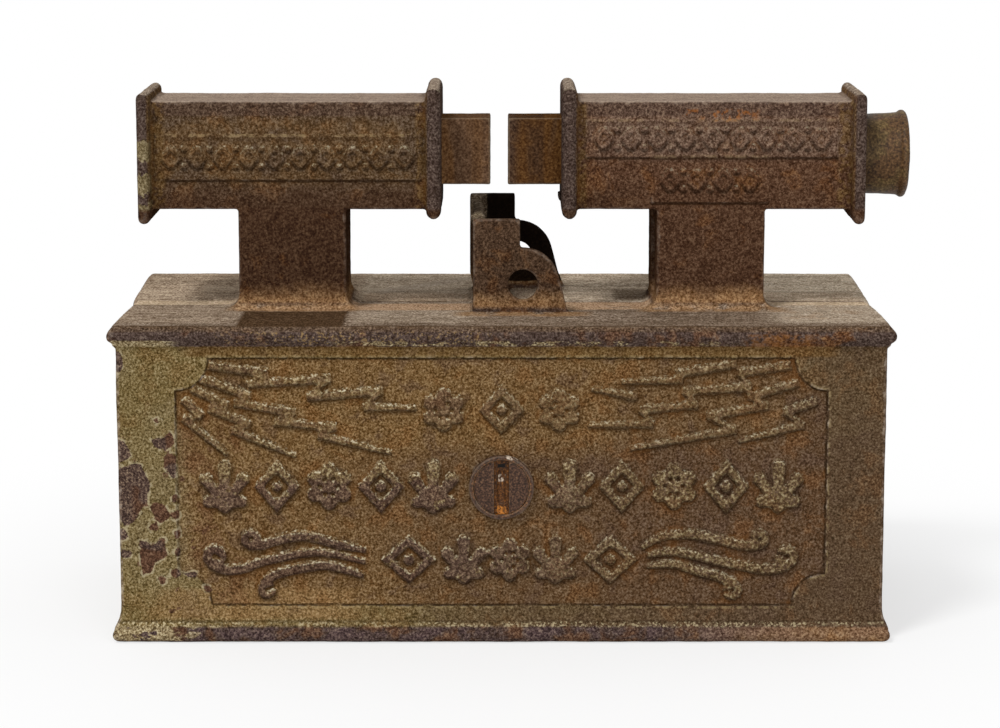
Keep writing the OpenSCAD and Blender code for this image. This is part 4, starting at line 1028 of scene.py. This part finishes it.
@dataclass(frozen=True)
class Ridge:
    """One raised stroke on a flat face: places (x, z) of its middle line and half widths there."""

    points: tuple[Pair, ...]
    widths: tuple[float, ...]


class Ornament:
    """Shapes of the small raised work, each as one or more ridges."""

    @staticmethod
    def stud(x: float, z: float, r: float) -> Ridge:
        """A round boss.

        Args:
            x: Its middle.
            z: Its height.
            r: Its radius.

        Returns:
            The ridge.
        """
        turns = [math.pi * i / 8 for i in range(9)]
        points = tuple((x - r * math.cos(a), z) for a in turns)
        return Ridge(points, tuple(max(0.05, r * math.sin(a)) for a in turns))

    @classmethod
    def lozenge(cls, x: float, z: float, wide: float, tall: float, half: float) -> list[Ridge]:
        """A diamond outline round a boss.

        Args:
            x: Its middle.
            z: Its middle height.
            wide: Whole width of its middle line.
            tall: Whole height of its middle line.
            half: Half width of its stroke.

        Returns:
            The ridges.
        """
        corners = ((x - wide / 2, z), (x, z + tall / 2), (x + wide / 2, z), (x, z - tall / 2))
        sides = [Ridge((corners[i], corners[(i + 1) % 4]), (half, half)) for i in range(4)]
        return [*sides, cls.stud(x, z, min(wide, tall) * 0.17)]


@dataclass(frozen=True)
class Flakes:
    """Corners (x, z) of the places near the front's left end where the paint has flaked off."""

    rows: tuple[tuple[Pair, ...], ...] = (
        ((-93.4, 43.4), (-88.8, 44.8), (-87.6, 44.3), (-86.1, 41.0), (-85.2, 38.2), (-86.6, 36.8),
         (-86.0, 35.2), (-87.4, 33.4), (-88.7, 32.0), (-89.5, 30.2), (-91.2, 29.1), (-93.4, 30.4)),
        ((-93.4, 50.8), (-91.6, 50.2), (-90.7, 48.6), (-89.8, 46.2), (-91.4, 45.4), (-93.4, 44.8)),
        ((-84.9, 50.7), (-82.4, 51.0), (-80.3, 52.8), (-79.4, 51.3), (-79.4, 48.9), (-82.4, 48.0),
         (-84.2, 49.0)),
        ((-81.9, 46.7), (-80.3, 47.5), (-79.1, 46.2), (-79.2, 40.4), (-80.3, 41.2), (-82.4, 44.2)),
        ((-80.1, 37.1), (-78.7, 37.1), (-78.7, 35.0), (-80.4, 34.8)),
        ((-85.8, 34.1), (-84.3, 35.0), (-82.4, 34.4), (-81.2, 32.5), (-78.6, 33.2), (-78.6, 30.5),
         (-79.8, 30.3), (-80.3, 31.6), (-82.9, 29.9), (-84.3, 30.3), (-85.1, 31.9)),
        ((-86.3, 29.3), (-85.0, 29.8), (-83.6, 28.9), (-83.8, 27.8), (-85.4, 27.6)),
        ((-88.6, 25.5), (-86.5, 25.2), (-85.3, 24.0), (-84.1, 24.6), (-83.1, 26.1), (-81.5, 25.8),
         (-82.2, 24.2), (-81.7, 21.5), (-83.4, 20.5), (-85.3, 19.3), (-85.5, 17.8), (-87.7, 16.4),
         (-88.0, 19.6), (-88.4, 22.5)),
        ((-80.1, 27.8), (-78.5, 28.0), (-78.4, 25.9), (-80.0, 25.8)),
        ((-80.1, 22.8), (-78.8, 23.4), (-78.3, 22.0), (-79.4, 21.2)),
        ((-81.1, 17.9), (-79.3, 18.4), (-78.4, 16.9), (-79.1, 15.9), (-80.6, 16.3)),
        ((-77.5, 17.1), (-75.7, 17.6), (-74.2, 17.2), (-75.0, 16.0), (-77.0, 16.1)),
        ((-73.5, 14.2), (-71.5, 13.8), (-70.4, 12.7), (-72.0, 12.1)),
        ((-84.2, 16.2), (-82.4, 16.5), (-81.8, 14.9), (-83.5, 14.0)),
        ((-93.4, 28.6), (-91.3, 28.0), (-91.1, 26.0), (-93.4, 25.4)),
        ((-93.4, 23.6), (-90.5, 22.6), (-90.8, 21.0), (-93.4, 21.2)),
        ((-93.4, 72.4), (-92.0, 72.2), (-91.6, 68.8), (-92.2, 67.0), (-93.4, 67.4)),
        ((-84.7, 55.4), (-83.1, 56.2), (-82.3, 55.3), (-83.7, 54.2)),
    )
    farthest: float = 12.0
    right: float = -62.0
    left: float = -93.3
    face: float = -41.0
    fade: float = 0.35

    def gaps(self, places: np.ndarray) -> np.ndarray:
        """How far places lie from the nearest flaked place, in the plane of the front.

        Args:
            places: One row for each place, in millimetres.

        Returns:
            Millimetres, below 0 inside a flaked place.
        """
        found = np.full(len(places), self.farthest)
        near = np.nonzero((places[:, 0] < self.right) & (places[:, 1] < -1))[0]
        spot = places[near][:, (0, 2)]
        spot[:, 0] = np.maximum(spot[:, 0], self.left)
        for row in self.rows:
            corners = np.array(row)
            ends = np.roll(corners, -1, 0)
            gap = np.full(len(spot), self.farthest)
            inside = np.zeros(len(spot), bool)
            for a, c in zip(corners, ends):
                way = c - a
                share = np.clip(((spot - a) @ way) / (way @ way), 0, 1)
                gap = np.minimum(gap, np.hypot(*(spot - a - share[:, None] * way).T))
                level = (a[1] > spot[:, 1]) != (c[1] > spot[:, 1])
                rise = way[1] if abs(way[1]) > 1e-6 else 1e-6
                inside ^= level & (spot[:, 0] < a[0] + (spot[:, 1] - a[1]) * way[0] / rise)
            found[near] = np.minimum(found[near], np.where(inside, -gap, gap))
        return found + self.fade * np.maximum(places[:, 1] - self.face, 0)


@dataclass
class TubeFronts:
    """Low plates and small ornament on the fronts of the two tubes."""

    face: float = -12.0
    plates: tuple[tuple[float, float, float, float], ...] = (
        (-86.2, 110.2, -20.2, 121.4), (20.9, 115.9, 83.6, 125.2), (37.2, 104.6, 66.6, 116.2),
    )
    rows: tuple[tuple[float, float, float, int], ...] = (
        (-82.2, -24.2, 115.8, 10), (25.4, 79.4, 120.6, 9), (42.0, 61.8, 110.2, 4),
    )
    thick: float = 0.45
    size: float = 6.6
    wide: float = 4.0
    stroke: float = 0.8
    boss: float = 0.85
    lift: float = 1.05

    def ridges(self) -> list[Ridge]:
        """Rows of small lozenges with bosses between them.

        Returns:
            The ridges.
        """
        found: list[Ridge] = []
        for start, end, z, count in self.rows:
            pitch = (end - start) / (count - 1)
            for i in range(count):
                x = start + i * pitch
                found += Ornament.lozenge(x, z, self.wide, self.size - 2 * self.stroke, self.stroke)
                if i < count - 1:
                    for side in (-1, 1):
                        found.append(Ornament.stud(x + pitch / 2, z + side * self.size / 3, self.boss))
        return found

    def build(self) -> list[bpy.types.Object]:
        """Makes the plates and the ornament on them.

        Returns:
            Meshes to melt into the casting.
        """
        out = self.face - self.thick
        made = [Workshop.slab((x0, out, z0), (x1, self.face + 1, z1)) for x0, z0, x1, z1 in self.plates]
        return [*made, Workshop.raise_ridges(self.ridges(), out, self.lift)]


def rise(values: np.ndarray, start: float, width: float) -> np.ndarray:
    """Share that goes from 0 at start to 1 over a width."""
    return np.clip((values - start) / width, 0, 1)


def fall(values: np.ndarray, end: float, width: float) -> np.ndarray:
    """Share that goes from 1 to 0 at end, over a width."""
    return np.clip((end - values) / width, 0, 1)


class Workshop:
    """Operations on meshes that more than one piece needs.

    TOUCH, in millimetres, is how near doubled points lie and how far a piece stays inside the CAD box.
    PULL is the share of the way to its neighbours' middle that a point goes in a round of smoothing.
    """

    TOUCH = 0.002
    PULL = 0.6

    @staticmethod
    def pick(piece: bpy.types.Object) -> None:
        """Makes a piece the only selected and the active object.

        Args:
            piece: The object.
        """
        bpy.ops.object.select_all(action="DESELECT")
        piece.select_set(True)
        bpy.context.view_layer.objects.active = piece

    @staticmethod
    def add(operator: Callable, **settings: object) -> bpy.types.Object:
        """Adds a new object with nothing else selected.

        Args:
            operator: The operator that adds it.
            settings: What it is given.

        Returns:
            The object.
        """
        bpy.ops.object.select_all(action="DESELECT")
        operator(**settings)
        return bpy.context.object

    @staticmethod
    def edit(operator: Callable, **settings: object) -> None:
        """Runs an operator of edit mode on all of the active mesh.

        Args:
            operator: The operator.
            settings: What it is given.
        """
        bpy.ops.object.mode_set(mode="EDIT")
        bpy.ops.mesh.select_all(action="SELECT")
        operator(**settings)
        bpy.ops.object.mode_set(mode="OBJECT")

    @classmethod
    def modify(cls, piece: bpy.types.Object, kind: str, **settings: object) -> None:
        """Works a modifier into a piece's mesh.

        Args:
            piece: The piece.
            kind: The modifier's type.
            settings: Attributes to set on it.
        """
        cls.pick(piece)
        modifier = piece.modifiers.new(kind, kind)
        for name, value in settings.items():
            setattr(modifier, name, value)
        bpy.ops.object.modifier_apply(modifier=modifier.name)

    @classmethod
    def copy_of(cls, node: str, name: str) -> bpy.types.Object:
        """Copies a CAD node into a mesh of its own, with its doubled points merged.

        Args:
            node: The CAD node.
            name: Name of the new piece.

        Returns:
            The new piece.
        """
        source = frame["nodes"][node]
        piece = bpy.data.objects.new(name, source.data.copy())
        bpy.context.scene.collection.objects.link(piece)
        piece.data.materials.clear()
        cls.pick(piece)
        cls.edit(bpy.ops.mesh.remove_doubles, threshold=cls.TOUCH * MM)
        return piece

    @classmethod
    def raise_ridges(cls, ridges: list[Ridge], face: float, lift: float) -> bpy.types.Object:
        """Turns ridges into one mesh that stands out of a face.

        Args:
            ridges: The ridges.
            face: The face's place along Y.
            lift: Height of a ridge as a share of its half width.

        Returns:
            The mesh.
        """
        curve = cls.add(bpy.ops.curve.primitive_bezier_curve_add, location=(0, 0, 0)).data
        curve.splines.clear()
        curve.bevel_depth = MM
        curve.bevel_resolution = 3
        curve.use_fill_caps = True
        for ridge in ridges:
            spline = curve.splines.new("POLY")
            spline.points.add(len(ridge.points) - 1)
            for knot, (x, z), width in zip(spline.points, ridge.points, ridge.widths):
                knot.co = (x * MM, face * MM, z * MM, 1.0)
                knot.radius = width
        bpy.ops.object.convert(target="MESH")
        cls.edit(bpy.ops.transform.resize, value=(1.0, lift, 1.0), center_override=(0.0, face * MM, 0.0))
        return bpy.context.object

    @classmethod
    def lump(cls, middle: Triple, reach: Triple) -> bpy.types.Object:
        """A round lump that is melted into a casting.

        Args:
            middle: Its middle.
            reach: Its half size along each axis.

        Returns:
            The lump.
        """
        place = [c * MM for c in middle]
        lump = cls.add(bpy.ops.mesh.primitive_ico_sphere_add, subdivisions=3, radius=1.0, location=place)
        lump.scale = [c * MM for c in reach]
        bpy.ops.object.transform_apply(location=True, rotation=False, scale=True)
        return lump

    @classmethod
    def slab(cls, low: Triple, high: Triple) -> bpy.types.Object:
        """A plate that is melted into a casting.

        Args:
            low: Its lowest corner.
            high: Its highest corner.

        Returns:
            The plate.
        """
        middle = [(a + c) / 2 * MM for a, c in zip(low, high)]
        plate = cls.add(bpy.ops.mesh.primitive_cube_add, size=1.0, location=middle)
        plate.scale = [(c - a) * MM for a, c in zip(low, high)]
        bpy.ops.object.transform_apply(location=True, rotation=False, scale=True)
        return plate

    @classmethod
    def melt(
        cls, piece: bpy.types.Object, others: list[bpy.types.Object], voxel: float, smooth: int
    ) -> None:
        """Joins meshes to a piece and turns the whole into one skin with softened edges.

        Args:
            piece: The piece that stays.
            others: Meshes that go into it.
            voxel: Size of the voxels.
            smooth: Rounds of smoothing.
        """
        cls.pick(piece)
        for other in others:
            other.select_set(True)
        if others:
            bpy.ops.object.join()
        cls.modify(piece, "REMESH", mode="VOXEL", voxel_size=voxel * MM)
        cls.modify(piece, "SMOOTH", factor=0.5, iterations=smooth)

    @classmethod
    def roughen(cls, piece: bpy.types.Object, size: float, tall: float, group: str = "") -> None:
        """Pushes the skin in and out as a sand mould does.

        Args:
            piece: The piece.
            size: Size of the bumps.
            tall: Their whole height.
            group: Points that are moved, or all.
        """
        texture = bpy.data.textures.new(f"{piece.name}_{size}", "CLOUDS")
        texture.noise_scale = size * MM
        texture.noise_depth = 2
        settings = {"texture": texture, "texture_coords": "LOCAL", "mid_level": 0.5, "vertex_group": group}
        cls.modify(piece, "DISPLACE", strength=tall * MM, **settings)

    @classmethod
    def thin(cls, piece: bpy.types.Object, most: int) -> None:
        """Takes out triangles where the skin is flat.

        Args:
            piece: The piece.
            most: Most triangles that stay.
        """
        piece.data.calc_loop_triangles()
        had = len(piece.data.loop_triangles)
        if had > most:
            cls.modify(piece, "DECIMATE", ratio=most / had)
        cls.pick(piece)
        bpy.ops.object.shade_smooth()

    @staticmethod
    def points(piece: bpy.types.Object) -> np.ndarray:
        """Places of a piece's points in millimetres.

        Args:
            piece: The piece.

        Returns:
            One row for each point.
        """
        places = np.empty(len(piece.data.vertices) * 3, np.float32)
        piece.data.vertices.foreach_get("co", places)
        return places.reshape(-1, 3).astype(float) / MM

    @staticmethod
    def put(piece: bpy.types.Object, places: np.ndarray) -> None:
        """Moves a piece's points."""
        piece.data.vertices.foreach_set("co", (places * MM).astype(np.float32).ravel())
        piece.data.update()

    @staticmethod
    def store(piece: bpy.types.Object, name: str, values: np.ndarray) -> None:
        """Stores a value on each point, for the materials to read."""
        made = piece.data.attributes.new(name, "FLOAT", "POINT")
        made.data.foreach_set("value", values.astype(np.float32))

    @classmethod
    def store_shape(cls, piece: bpy.types.Object, scales: tuple[tuple[int, float], ...]) -> None:
        """Stores how far each point stands out of its smoothed surroundings, and how far it lies in them.

        Args:
            piece: The piece.
            scales: Rounds of smoothing that the surroundings get, and the distance that counts as 1,
                for fine shapes first and coarse ones after.
        """
        places = cls.points(piece)
        mesh = piece.data
        ends = np.empty(len(mesh.edges) * 2, np.int32)
        mesh.edges.foreach_get("vertices", ends)
        a, c = ends.reshape(-1, 2).T
        count = np.bincount(a, minlength=len(places)) + np.bincount(c, minlength=len(places))
        normals = np.empty(len(places) * 3, np.float32)
        mesh.vertices.foreach_get("normal", normals)

        def around(values: np.ndarray) -> np.ndarray:
            """Adds up each point's neighbours."""
            return np.bincount(a, values[c], len(places)) + np.bincount(c, values[a], len(places))

        eased, done = places.copy(), 0
        edge, nook = np.zeros(len(places)), np.zeros(len(places))
        for rounds, full in scales:
            for _ in range(rounds - done):
                total = np.stack([around(eased[:, k]) for k in range(3)], 1)
                eased = (1 - cls.PULL) * eased + cls.PULL * total / np.maximum(count, 1)[:, None]
            done = rounds
            out = ((places - eased) * normals.reshape(-1, 3)).sum(1) / full
            edge, nook = np.maximum(edge, out), np.maximum(nook, -out)
        cls.store(piece, "edge", np.clip(edge, 0, 1))
        cls.store(piece, "nook", np.clip(nook, 0, 1))

    @classmethod
    def ready(
        cls, piece: bpy.types.Object, body: Body, slot: Slot, look: bpy.types.Material, nodes: list[str]
    ) -> None:
        """Keeps a finished piece inside the CAD box, dresses it, sets it on its body and hides the CAD
        nodes that it stands for.

        Args:
            piece: The piece.
            body: The body that it rides on.
            slot: The record's slot for its finish. It is not used.
            look: Its material.
            nodes: CAD nodes that it stands for.
        """
        low, high = (np.array(corner) / MM for corner in CAD_BOX)
        cls.put(piece, np.clip(cls.points(piece), low + cls.TOUCH, high - cls.TOUCH))
        piece.data.materials.clear()
        piece.data.materials.append(look)
        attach(piece, body.value)
        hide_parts(*nodes)
        LOG.info("%s: %d points, rides on %s", piece.name, len(piece.data.vertices), body.value)


@dataclass
class Castings:
    """The front and rear halves of the bank.

    A pair that ends in from or to holds where a ramp starts or ends, and its width. The bolts lie past
    an X to either side and above a Z, the scrolls left of one X, right of another and below a Z, and
    the motifs of the tubes within an X and above a Z.
    """

    look: bpy.types.Material
    voxels: Pair = (0.38, 0.55)
    smooth: int = 2
    sand: tuple[Pair, ...] = ((14.0, 0.3), (2.2, 0.14))
    scales: tuple[tuple[int, float], ...] = ((4, 0.09), (18, 0.3))
    most: int = 196000
    dish: float = 0.75
    dish_from: Pair = (76.0, 1.6)
    dish_to: Pair = (86, 7)
    half_depth: float = 44
    waist: float = 1.3
    waist_reach: float = 9.0
    waist_from: Pair = (10, 26)
    waist_to: Pair = (82, 2)
    end_from: Pair = (84, 5)
    lean: float = 0.6
    lean_from: Pair = (-2, 20)
    slip: float = 0.9
    slip_from: Pair = (79, 3)
    post_middle: float = 52.3
    post_reach: Pair = (19, 2)
    ear_slip: Pair = (1.1, 1.7)
    ear_back: Pair = (12, 6)
    ear_foot: Pair = (78.5, 2.5)
    ear_tip: Pair = (94, 7)
    ear_wide: float = 20
    ear_lump: tuple[Triple, Triple] = ((-5.8, -13.0, 101.2), (1.9, 3.4, 0.9))
    tube_under: float = 104.0
    tube_over: float = 128.3
    cavity: Triple = (91.4, 40.6, 76.6)
    bore: float = 10.6
    post_bore: float = 12.2
    face: float = -41.9
    relief: float = 1.0
    bolts: Pair = (20.2, 45.8)
    scrolls: Triple = (-31, 33.7, 31)
    motifs: Pair = (86, 102)
    lock_middle: float = 38.8
    lock_rim: float = 8.8
    panel: Panel = Panel()
    fronts: TubeFronts = field(default_factory=TubeFronts)

    def build(self) -> None:
        """Makes both halves."""
        halves = (("front_casting", "front_half"), ("rear_casting", "rear_half"))
        for (node, name), voxel in zip(halves, self.voxels):
            piece = Workshop.copy_of(node, name)
            added: list[bpy.types.Object] = []
            if node == "front_casting":
                added = [*self.fronts.build(), Workshop.lump(*self.ear_lump)]
            Workshop.melt(piece, added, voxel, self.smooth)
            self.shape(piece)
            self.mark(piece)
            self.guard(piece)
            for size, tall in self.sand:
                Workshop.roughen(piece, size, tall, "skin")
            Workshop.store_shape(piece, self.scales)
            Workshop.thin(piece, self.most)
            Workshop.ready(piece, Body.BANK, Slot.CASTING, self.look, [node])

    def shape(self, piece: bpy.types.Object) -> None:
        """Gives a half the sag of its top, the waist of its ends, and the slips of its end, post and ear.

        Args:
            piece: The half.
        """
        p = Workshop.points(piece)
        x, y, z = p.T
        wide, deep = np.abs(x), np.abs(y)
        level = rise(z, *self.dish_from) * fall(z, *self.dish_to)
        near = (1 - rise(deep, 0, self.half_depth) ** 2) ** 2
        ear = rise(y, *self.ear_back) * rise(z, *self.ear_foot)
        ear = ear * (wide < self.ear_wide) * (z < self.tube_under)
        lift = self.ear_slip[1] * ear * (1 - 0.7 * rise(z, *self.ear_tip))
        pull = self.waist * np.exp(-deep / self.waist_reach)
        pull = pull + self.lean * (x > 0) * rise(y, *self.lean_from)
        high = rise(z, *self.waist_from) * fall(z, *self.waist_to)
        out = rise(wide, *self.end_from)
        post = rise(z, *self.slip_from) * fall(z, self.tube_under, self.slip_from[1])
        post = post * fall(np.abs(x - self.post_middle), *self.post_reach) * (y > 0.05)
        p[:, 2] = z - self.dish * level * near + lift
        p[:, 0] = x - np.sign(x) * pull * high * out - self.slip * post - self.ear_slip[0] * ear
        Workshop.put(piece, p)

    def guard(self, piece: bpy.types.Object) -> None:
        """Gathers the points that may be roughened: the outside, clear of the seam and of bores.

        Args:
            piece: The half.
        """
        x, y, z = Workshop.points(piece).T
        wide, deep = np.abs(x), np.abs(y)
        seam = rise(deep, 0.5, 1.5) * np.where((z > 80) & (deep > 11.5), 0.5, 1)
        inside = (wide < self.cavity[0]) & (deep < self.cavity[1]) & (z < self.cavity[2])
        tube = (z < self.tube_over) & (z > self.tube_under + 0.4)
        bore = (deep < self.bore) & (tube | (np.abs(wide - self.post_middle) < self.post_bore))
        lock = np.hypot(x, z - self.lock_middle) < self.lock_rim + 0.7
        weight = seam * ~inside * ~bore * ~lock
        group = piece.vertex_groups.new(name="skin")
        for share in (0.25, 0.5, 0.75, 1.0):
            chosen = np.nonzero(np.abs(np.ceil(weight * 4) / 4 - share) < 0.01)[0]
            group.add(chosen.tolist(), share, "REPLACE")

    def mark(self, piece: bpy.types.Object) -> None:
        """Stores where the raised work is, by kind, as a share of its height, and how far the flakes are.

        Args:
            piece: The half.
        """
        places = Workshop.points(piece)
        x, y, z = places.T
        panel = self.panel
        dx, dz = np.abs(x) - panel.half, np.abs(z - panel.middle) - (panel.high - panel.low) / 2
        gap = np.maximum(np.maximum(dx, dz), panel.notch - np.hypot(dx, dz))
        high = fall(y, self.face, self.relief) * fall(gap, -0.2, 0.4)
        high *= np.hypot(x, z - self.lock_middle) > self.lock_rim
        bolt = (np.abs(x) > self.bolts[0]) & (z > self.bolts[1])
        scroll = ((x < self.scrolls[0]) | (x > self.scrolls[1])) & (z < self.scrolls[2])
        small = fall(y, self.fronts.face - self.fronts.thick, 0.6)
        small = small * (z > self.motifs[1]) * (np.abs(x) < self.motifs[0])
        shares = {
            Relief.BOLT: high * bolt,
            Relief.SCROLL: high * scroll,
            Relief.MOTIF: high * ~bolt * ~scroll + small,
        }
        for kind, share in shares.items():
            Workshop.store(piece, kind.value, share)
        Workshop.store(piece, "flake", Flakes().gaps(places))


@dataclass(frozen=True)
class Fitting:
    """How one smaller piece is worked up: voxels, rounds of smoothing, size and height of its bumps."""

    node: str
    name: str
    body: Body
    slot: Slot
    voxel: float
    smooth: int
    bumps: Pair


@dataclass
class Fittings:
    """The smaller rigid pieces that are worked up from their CAD nodes."""

    looks: dict[Slot, bpy.types.Material]
    rows: tuple[Fitting, ...] = (
        Fitting("sight_sleeve_left", "left_sleeve", Body.BANK, Slot.RUSTY, 0.3, 2, (4.0, 0.16)),
        Fitting("sight_sleeve_right", "right_sleeve", Body.BANK, Slot.RUSTY, 0.3, 2, (4.0, 0.16)),
        Fitting("eyepiece", "eye_trumpet", Body.BANK, Slot.BRASS, 0.3, 2, (5.0, 0.3)),
        Fitting("lock_barrel", "lock_rim", Body.BANK, Slot.LOCK, 0.25, 2, (2.0, 0.16)),
        Fitting("lock_plug", "key_plug", Body.LOCK, Slot.LOCK, 0.22, 1, (2.0, 0.12)),
        Fitting("base_plate", "base_door_plate", Body.DOOR, Slot.RUSTY, 0.6, 2, (9.0, 0.3)),
        Fitting("hasp", "hasp_strap", Body.DOOR, Slot.STEEL, 0.3, 1, (3.0, 0.08)),
    )
    ward: tuple[Triple, Triple] = ((-1.3, -41.6, 34.4), (1.3, -36, 43.4))
    scales: tuple[tuple[int, float], ...] = ((3, 0.06), (10, 0.2))
    most: int = 60000

    def build(self) -> None:
        """Makes every fitting."""
        for row in self.rows:
            piece = Workshop.copy_of(row.node, row.name)
            added = [Workshop.slab(*self.ward)] if row.node == "lock_plug" else []
            Workshop.melt(piece, added, row.voxel, row.smooth)
            Workshop.roughen(piece, *row.bumps)
            Workshop.store_shape(piece, self.scales)
            Workshop.thin(piece, self.most)
            Workshop.ready(piece, row.body, row.slot, self.looks[row.slot], [row.node])

    def dress_rest(self) -> None:
        """Gives the CAD nodes that stay their materials."""
        slots = {row["node"]: row["material_slot"] for row in frame["record"]["subparts"]}
        for name, node in frame["nodes"].items():
            if node.hide_render:
                continue
            node.data.materials.clear()
            node.data.materials.append(self.looks[Slot(slots[name])])
            LOG.info("%s stays as the frame has it", name)


@dataclass
class Stage:
    """Floor, world, lamps and camera."""

    reach: float = 6.0
    below: float = 0.03
    paper: float = 0.9
    glow: Pair = (60, 230)
    clear: Spans = ((-90, 90, 0.1), (-40, 40, 0.1), (-5, 5, 0.1))
    daylight: float = 0.5
    lamps: tuple[tuple[str, float, float, Triple], ...] = (
        ("key", 1.75, 14, (-0.42, -0.55, 0.9)),
        ("fill", 1.0, 40, (0.25, -0.95, 0.35)),
    )
    camera_place: Triple = (0.0, -0.7598, 0.2002)
    camera_tilt: float = 79.6534
    lens: float = 108.648
    sensor: float = 36.0
    nearest: float = 0.01
    shift_x: float = -0.0015

    def build(self) -> None:
        """Sets up all of it."""
        self.floor()
        self.world()
        for row in self.lamps:
            self.lamp(*row)
        self.camera()

    def floor(self) -> None:
        """A wide pale floor, white away from the bank, that keeps its shadow and is clear from below."""
        place = (0, 0, -self.below * MM)
        floor = Workshop.add(bpy.ops.mesh.primitive_plane_add, size=2 * self.reach, location=place)
        floor.name = "floor"
        b = Brush("floor_paper")
        paper = b.add("ShaderNodeBsdfDiffuse")
        paper.inputs["Color"].default_value = (self.paper, self.paper, self.paper, 1.0)
        length = b.add("ShaderNodeVectorMath", {"operation": "LENGTH"})
        b.feed(length.inputs[0], b.place)
        far = b.scaled(b.step(length.outputs["Value"], *self.glow), 0.45, 0.55)
        light = b.add("ShaderNodeEmission").outputs[0]
        lit = b.blend(b.both(b.seen(), far), paper.outputs[0], light)
        underneath = b.add("ShaderNodeNewGeometry").outputs["Backfacing"]
        gone = b.most(underneath, b.at(*self.clear))
        nothing = b.add("ShaderNodeBsdfTransparent").outputs[0]
        out = b.add("ShaderNodeOutputMaterial")
        b.feed(out.inputs["Surface"], b.blend(gone, lit, nothing))
        floor.data.materials.append(b.material)

    def world(self) -> None:
        """Even grey light, white where it is seen directly, in gloss or through glass."""
        world = bpy.data.worlds.new("studio")
        bpy.context.scene.world = world
        world.use_nodes = True
        tree = Tree(world.node_tree)
        seen = tree.seen()
        grey, white = (tree.add("ShaderNodeBackground") for _ in range(2))
        for background, strength in ((grey, self.daylight), (white, 1.0)):
            background.inputs["Color"].default_value = WHITE
            background.inputs["Strength"].default_value = strength
        out = tree.add("ShaderNodeOutputWorld")
        tree.feed(out.inputs["Surface"], tree.blend(seen, grey.outputs[0], white.outputs[0]))

    def lamp(self, name: str, strength: float, soft: float, source: Triple) -> None:
        """Adds a distant lamp.

        Args:
            name: The lamp's name.
            strength: Its strength.
            soft: Its width in degrees.
            source: Direction from the bank to the lamp.
        """
        lamp = Workshop.add(bpy.ops.object.light_add, type="SUN", location=[2 * c for c in source])
        lamp.name = name
        lamp.rotation_euler = Vector(source).to_track_quat("Z", "Y").to_euler()
        lamp.data.energy = strength
        lamp.data.angle = math.radians(soft)

    def camera(self) -> None:
        """Places the camera at the photograph's viewing angle."""
        turn = (math.radians(self.camera_tilt), 0, 0)
        camera = Workshop.add(bpy.ops.object.camera_add, location=self.camera_place, rotation=turn)
        camera.data.lens = self.lens
        camera.data.sensor_width = self.sensor
        camera.data.shift_x = self.shift_x
        camera.data.clip_start = self.nearest
        bpy.context.scene.camera = camera
        bpy.context.scene.view_settings.view_transform = "Standard"


def finishes() -> dict[Slot, bpy.types.Material]:
    """Draws up every material.

    Returns:
        One for each slot.
    """
    tin = ((0.34, "#5b5a55"), (0.5, "#86857f"), (0.66, "#a8a69e"))
    mirror = ((0.3, "#c9d0d2"), (0.7, "#e6ecec"))
    steel = ((0.34, "#3c332c"), (0.5, "#5f5348"), (0.66, "#82766a"))
    found = {
        Slot.CASTING: BronzedIron(),
        Slot.RUSTY: RustyIron(),
        Slot.BRASS: OliveBrass(),
        Slot.LOCK: DarkLock(),
        Slot.TIN: PlainFinish("tinplate", tin, 0.25, (0.3, 0.3), 0.8, 0.02),
        Slot.MIRROR: PlainFinish("mirror_glass", mirror, 0.05, (0.03, 0.06), 1.0, 0.0),
        Slot.STEEL: PlainFinish("screw_steel", steel, 0.5, (0.35, 0.35), 0.6, 0.04),
    }
    return {slot: finish.material() for slot, finish in found.items()}


def main() -> None:
    """Builds the stage and every piece."""
    logging.basicConfig(level=logging.INFO, format="%(name)s %(message)s")
    Stage().build()
    looks = finishes()
    Castings(looks[Slot.CASTING]).build()
    fittings = Fittings(looks)
    fittings.build()
    fittings.dress_rest()


if __name__ == "__main__":
    main()
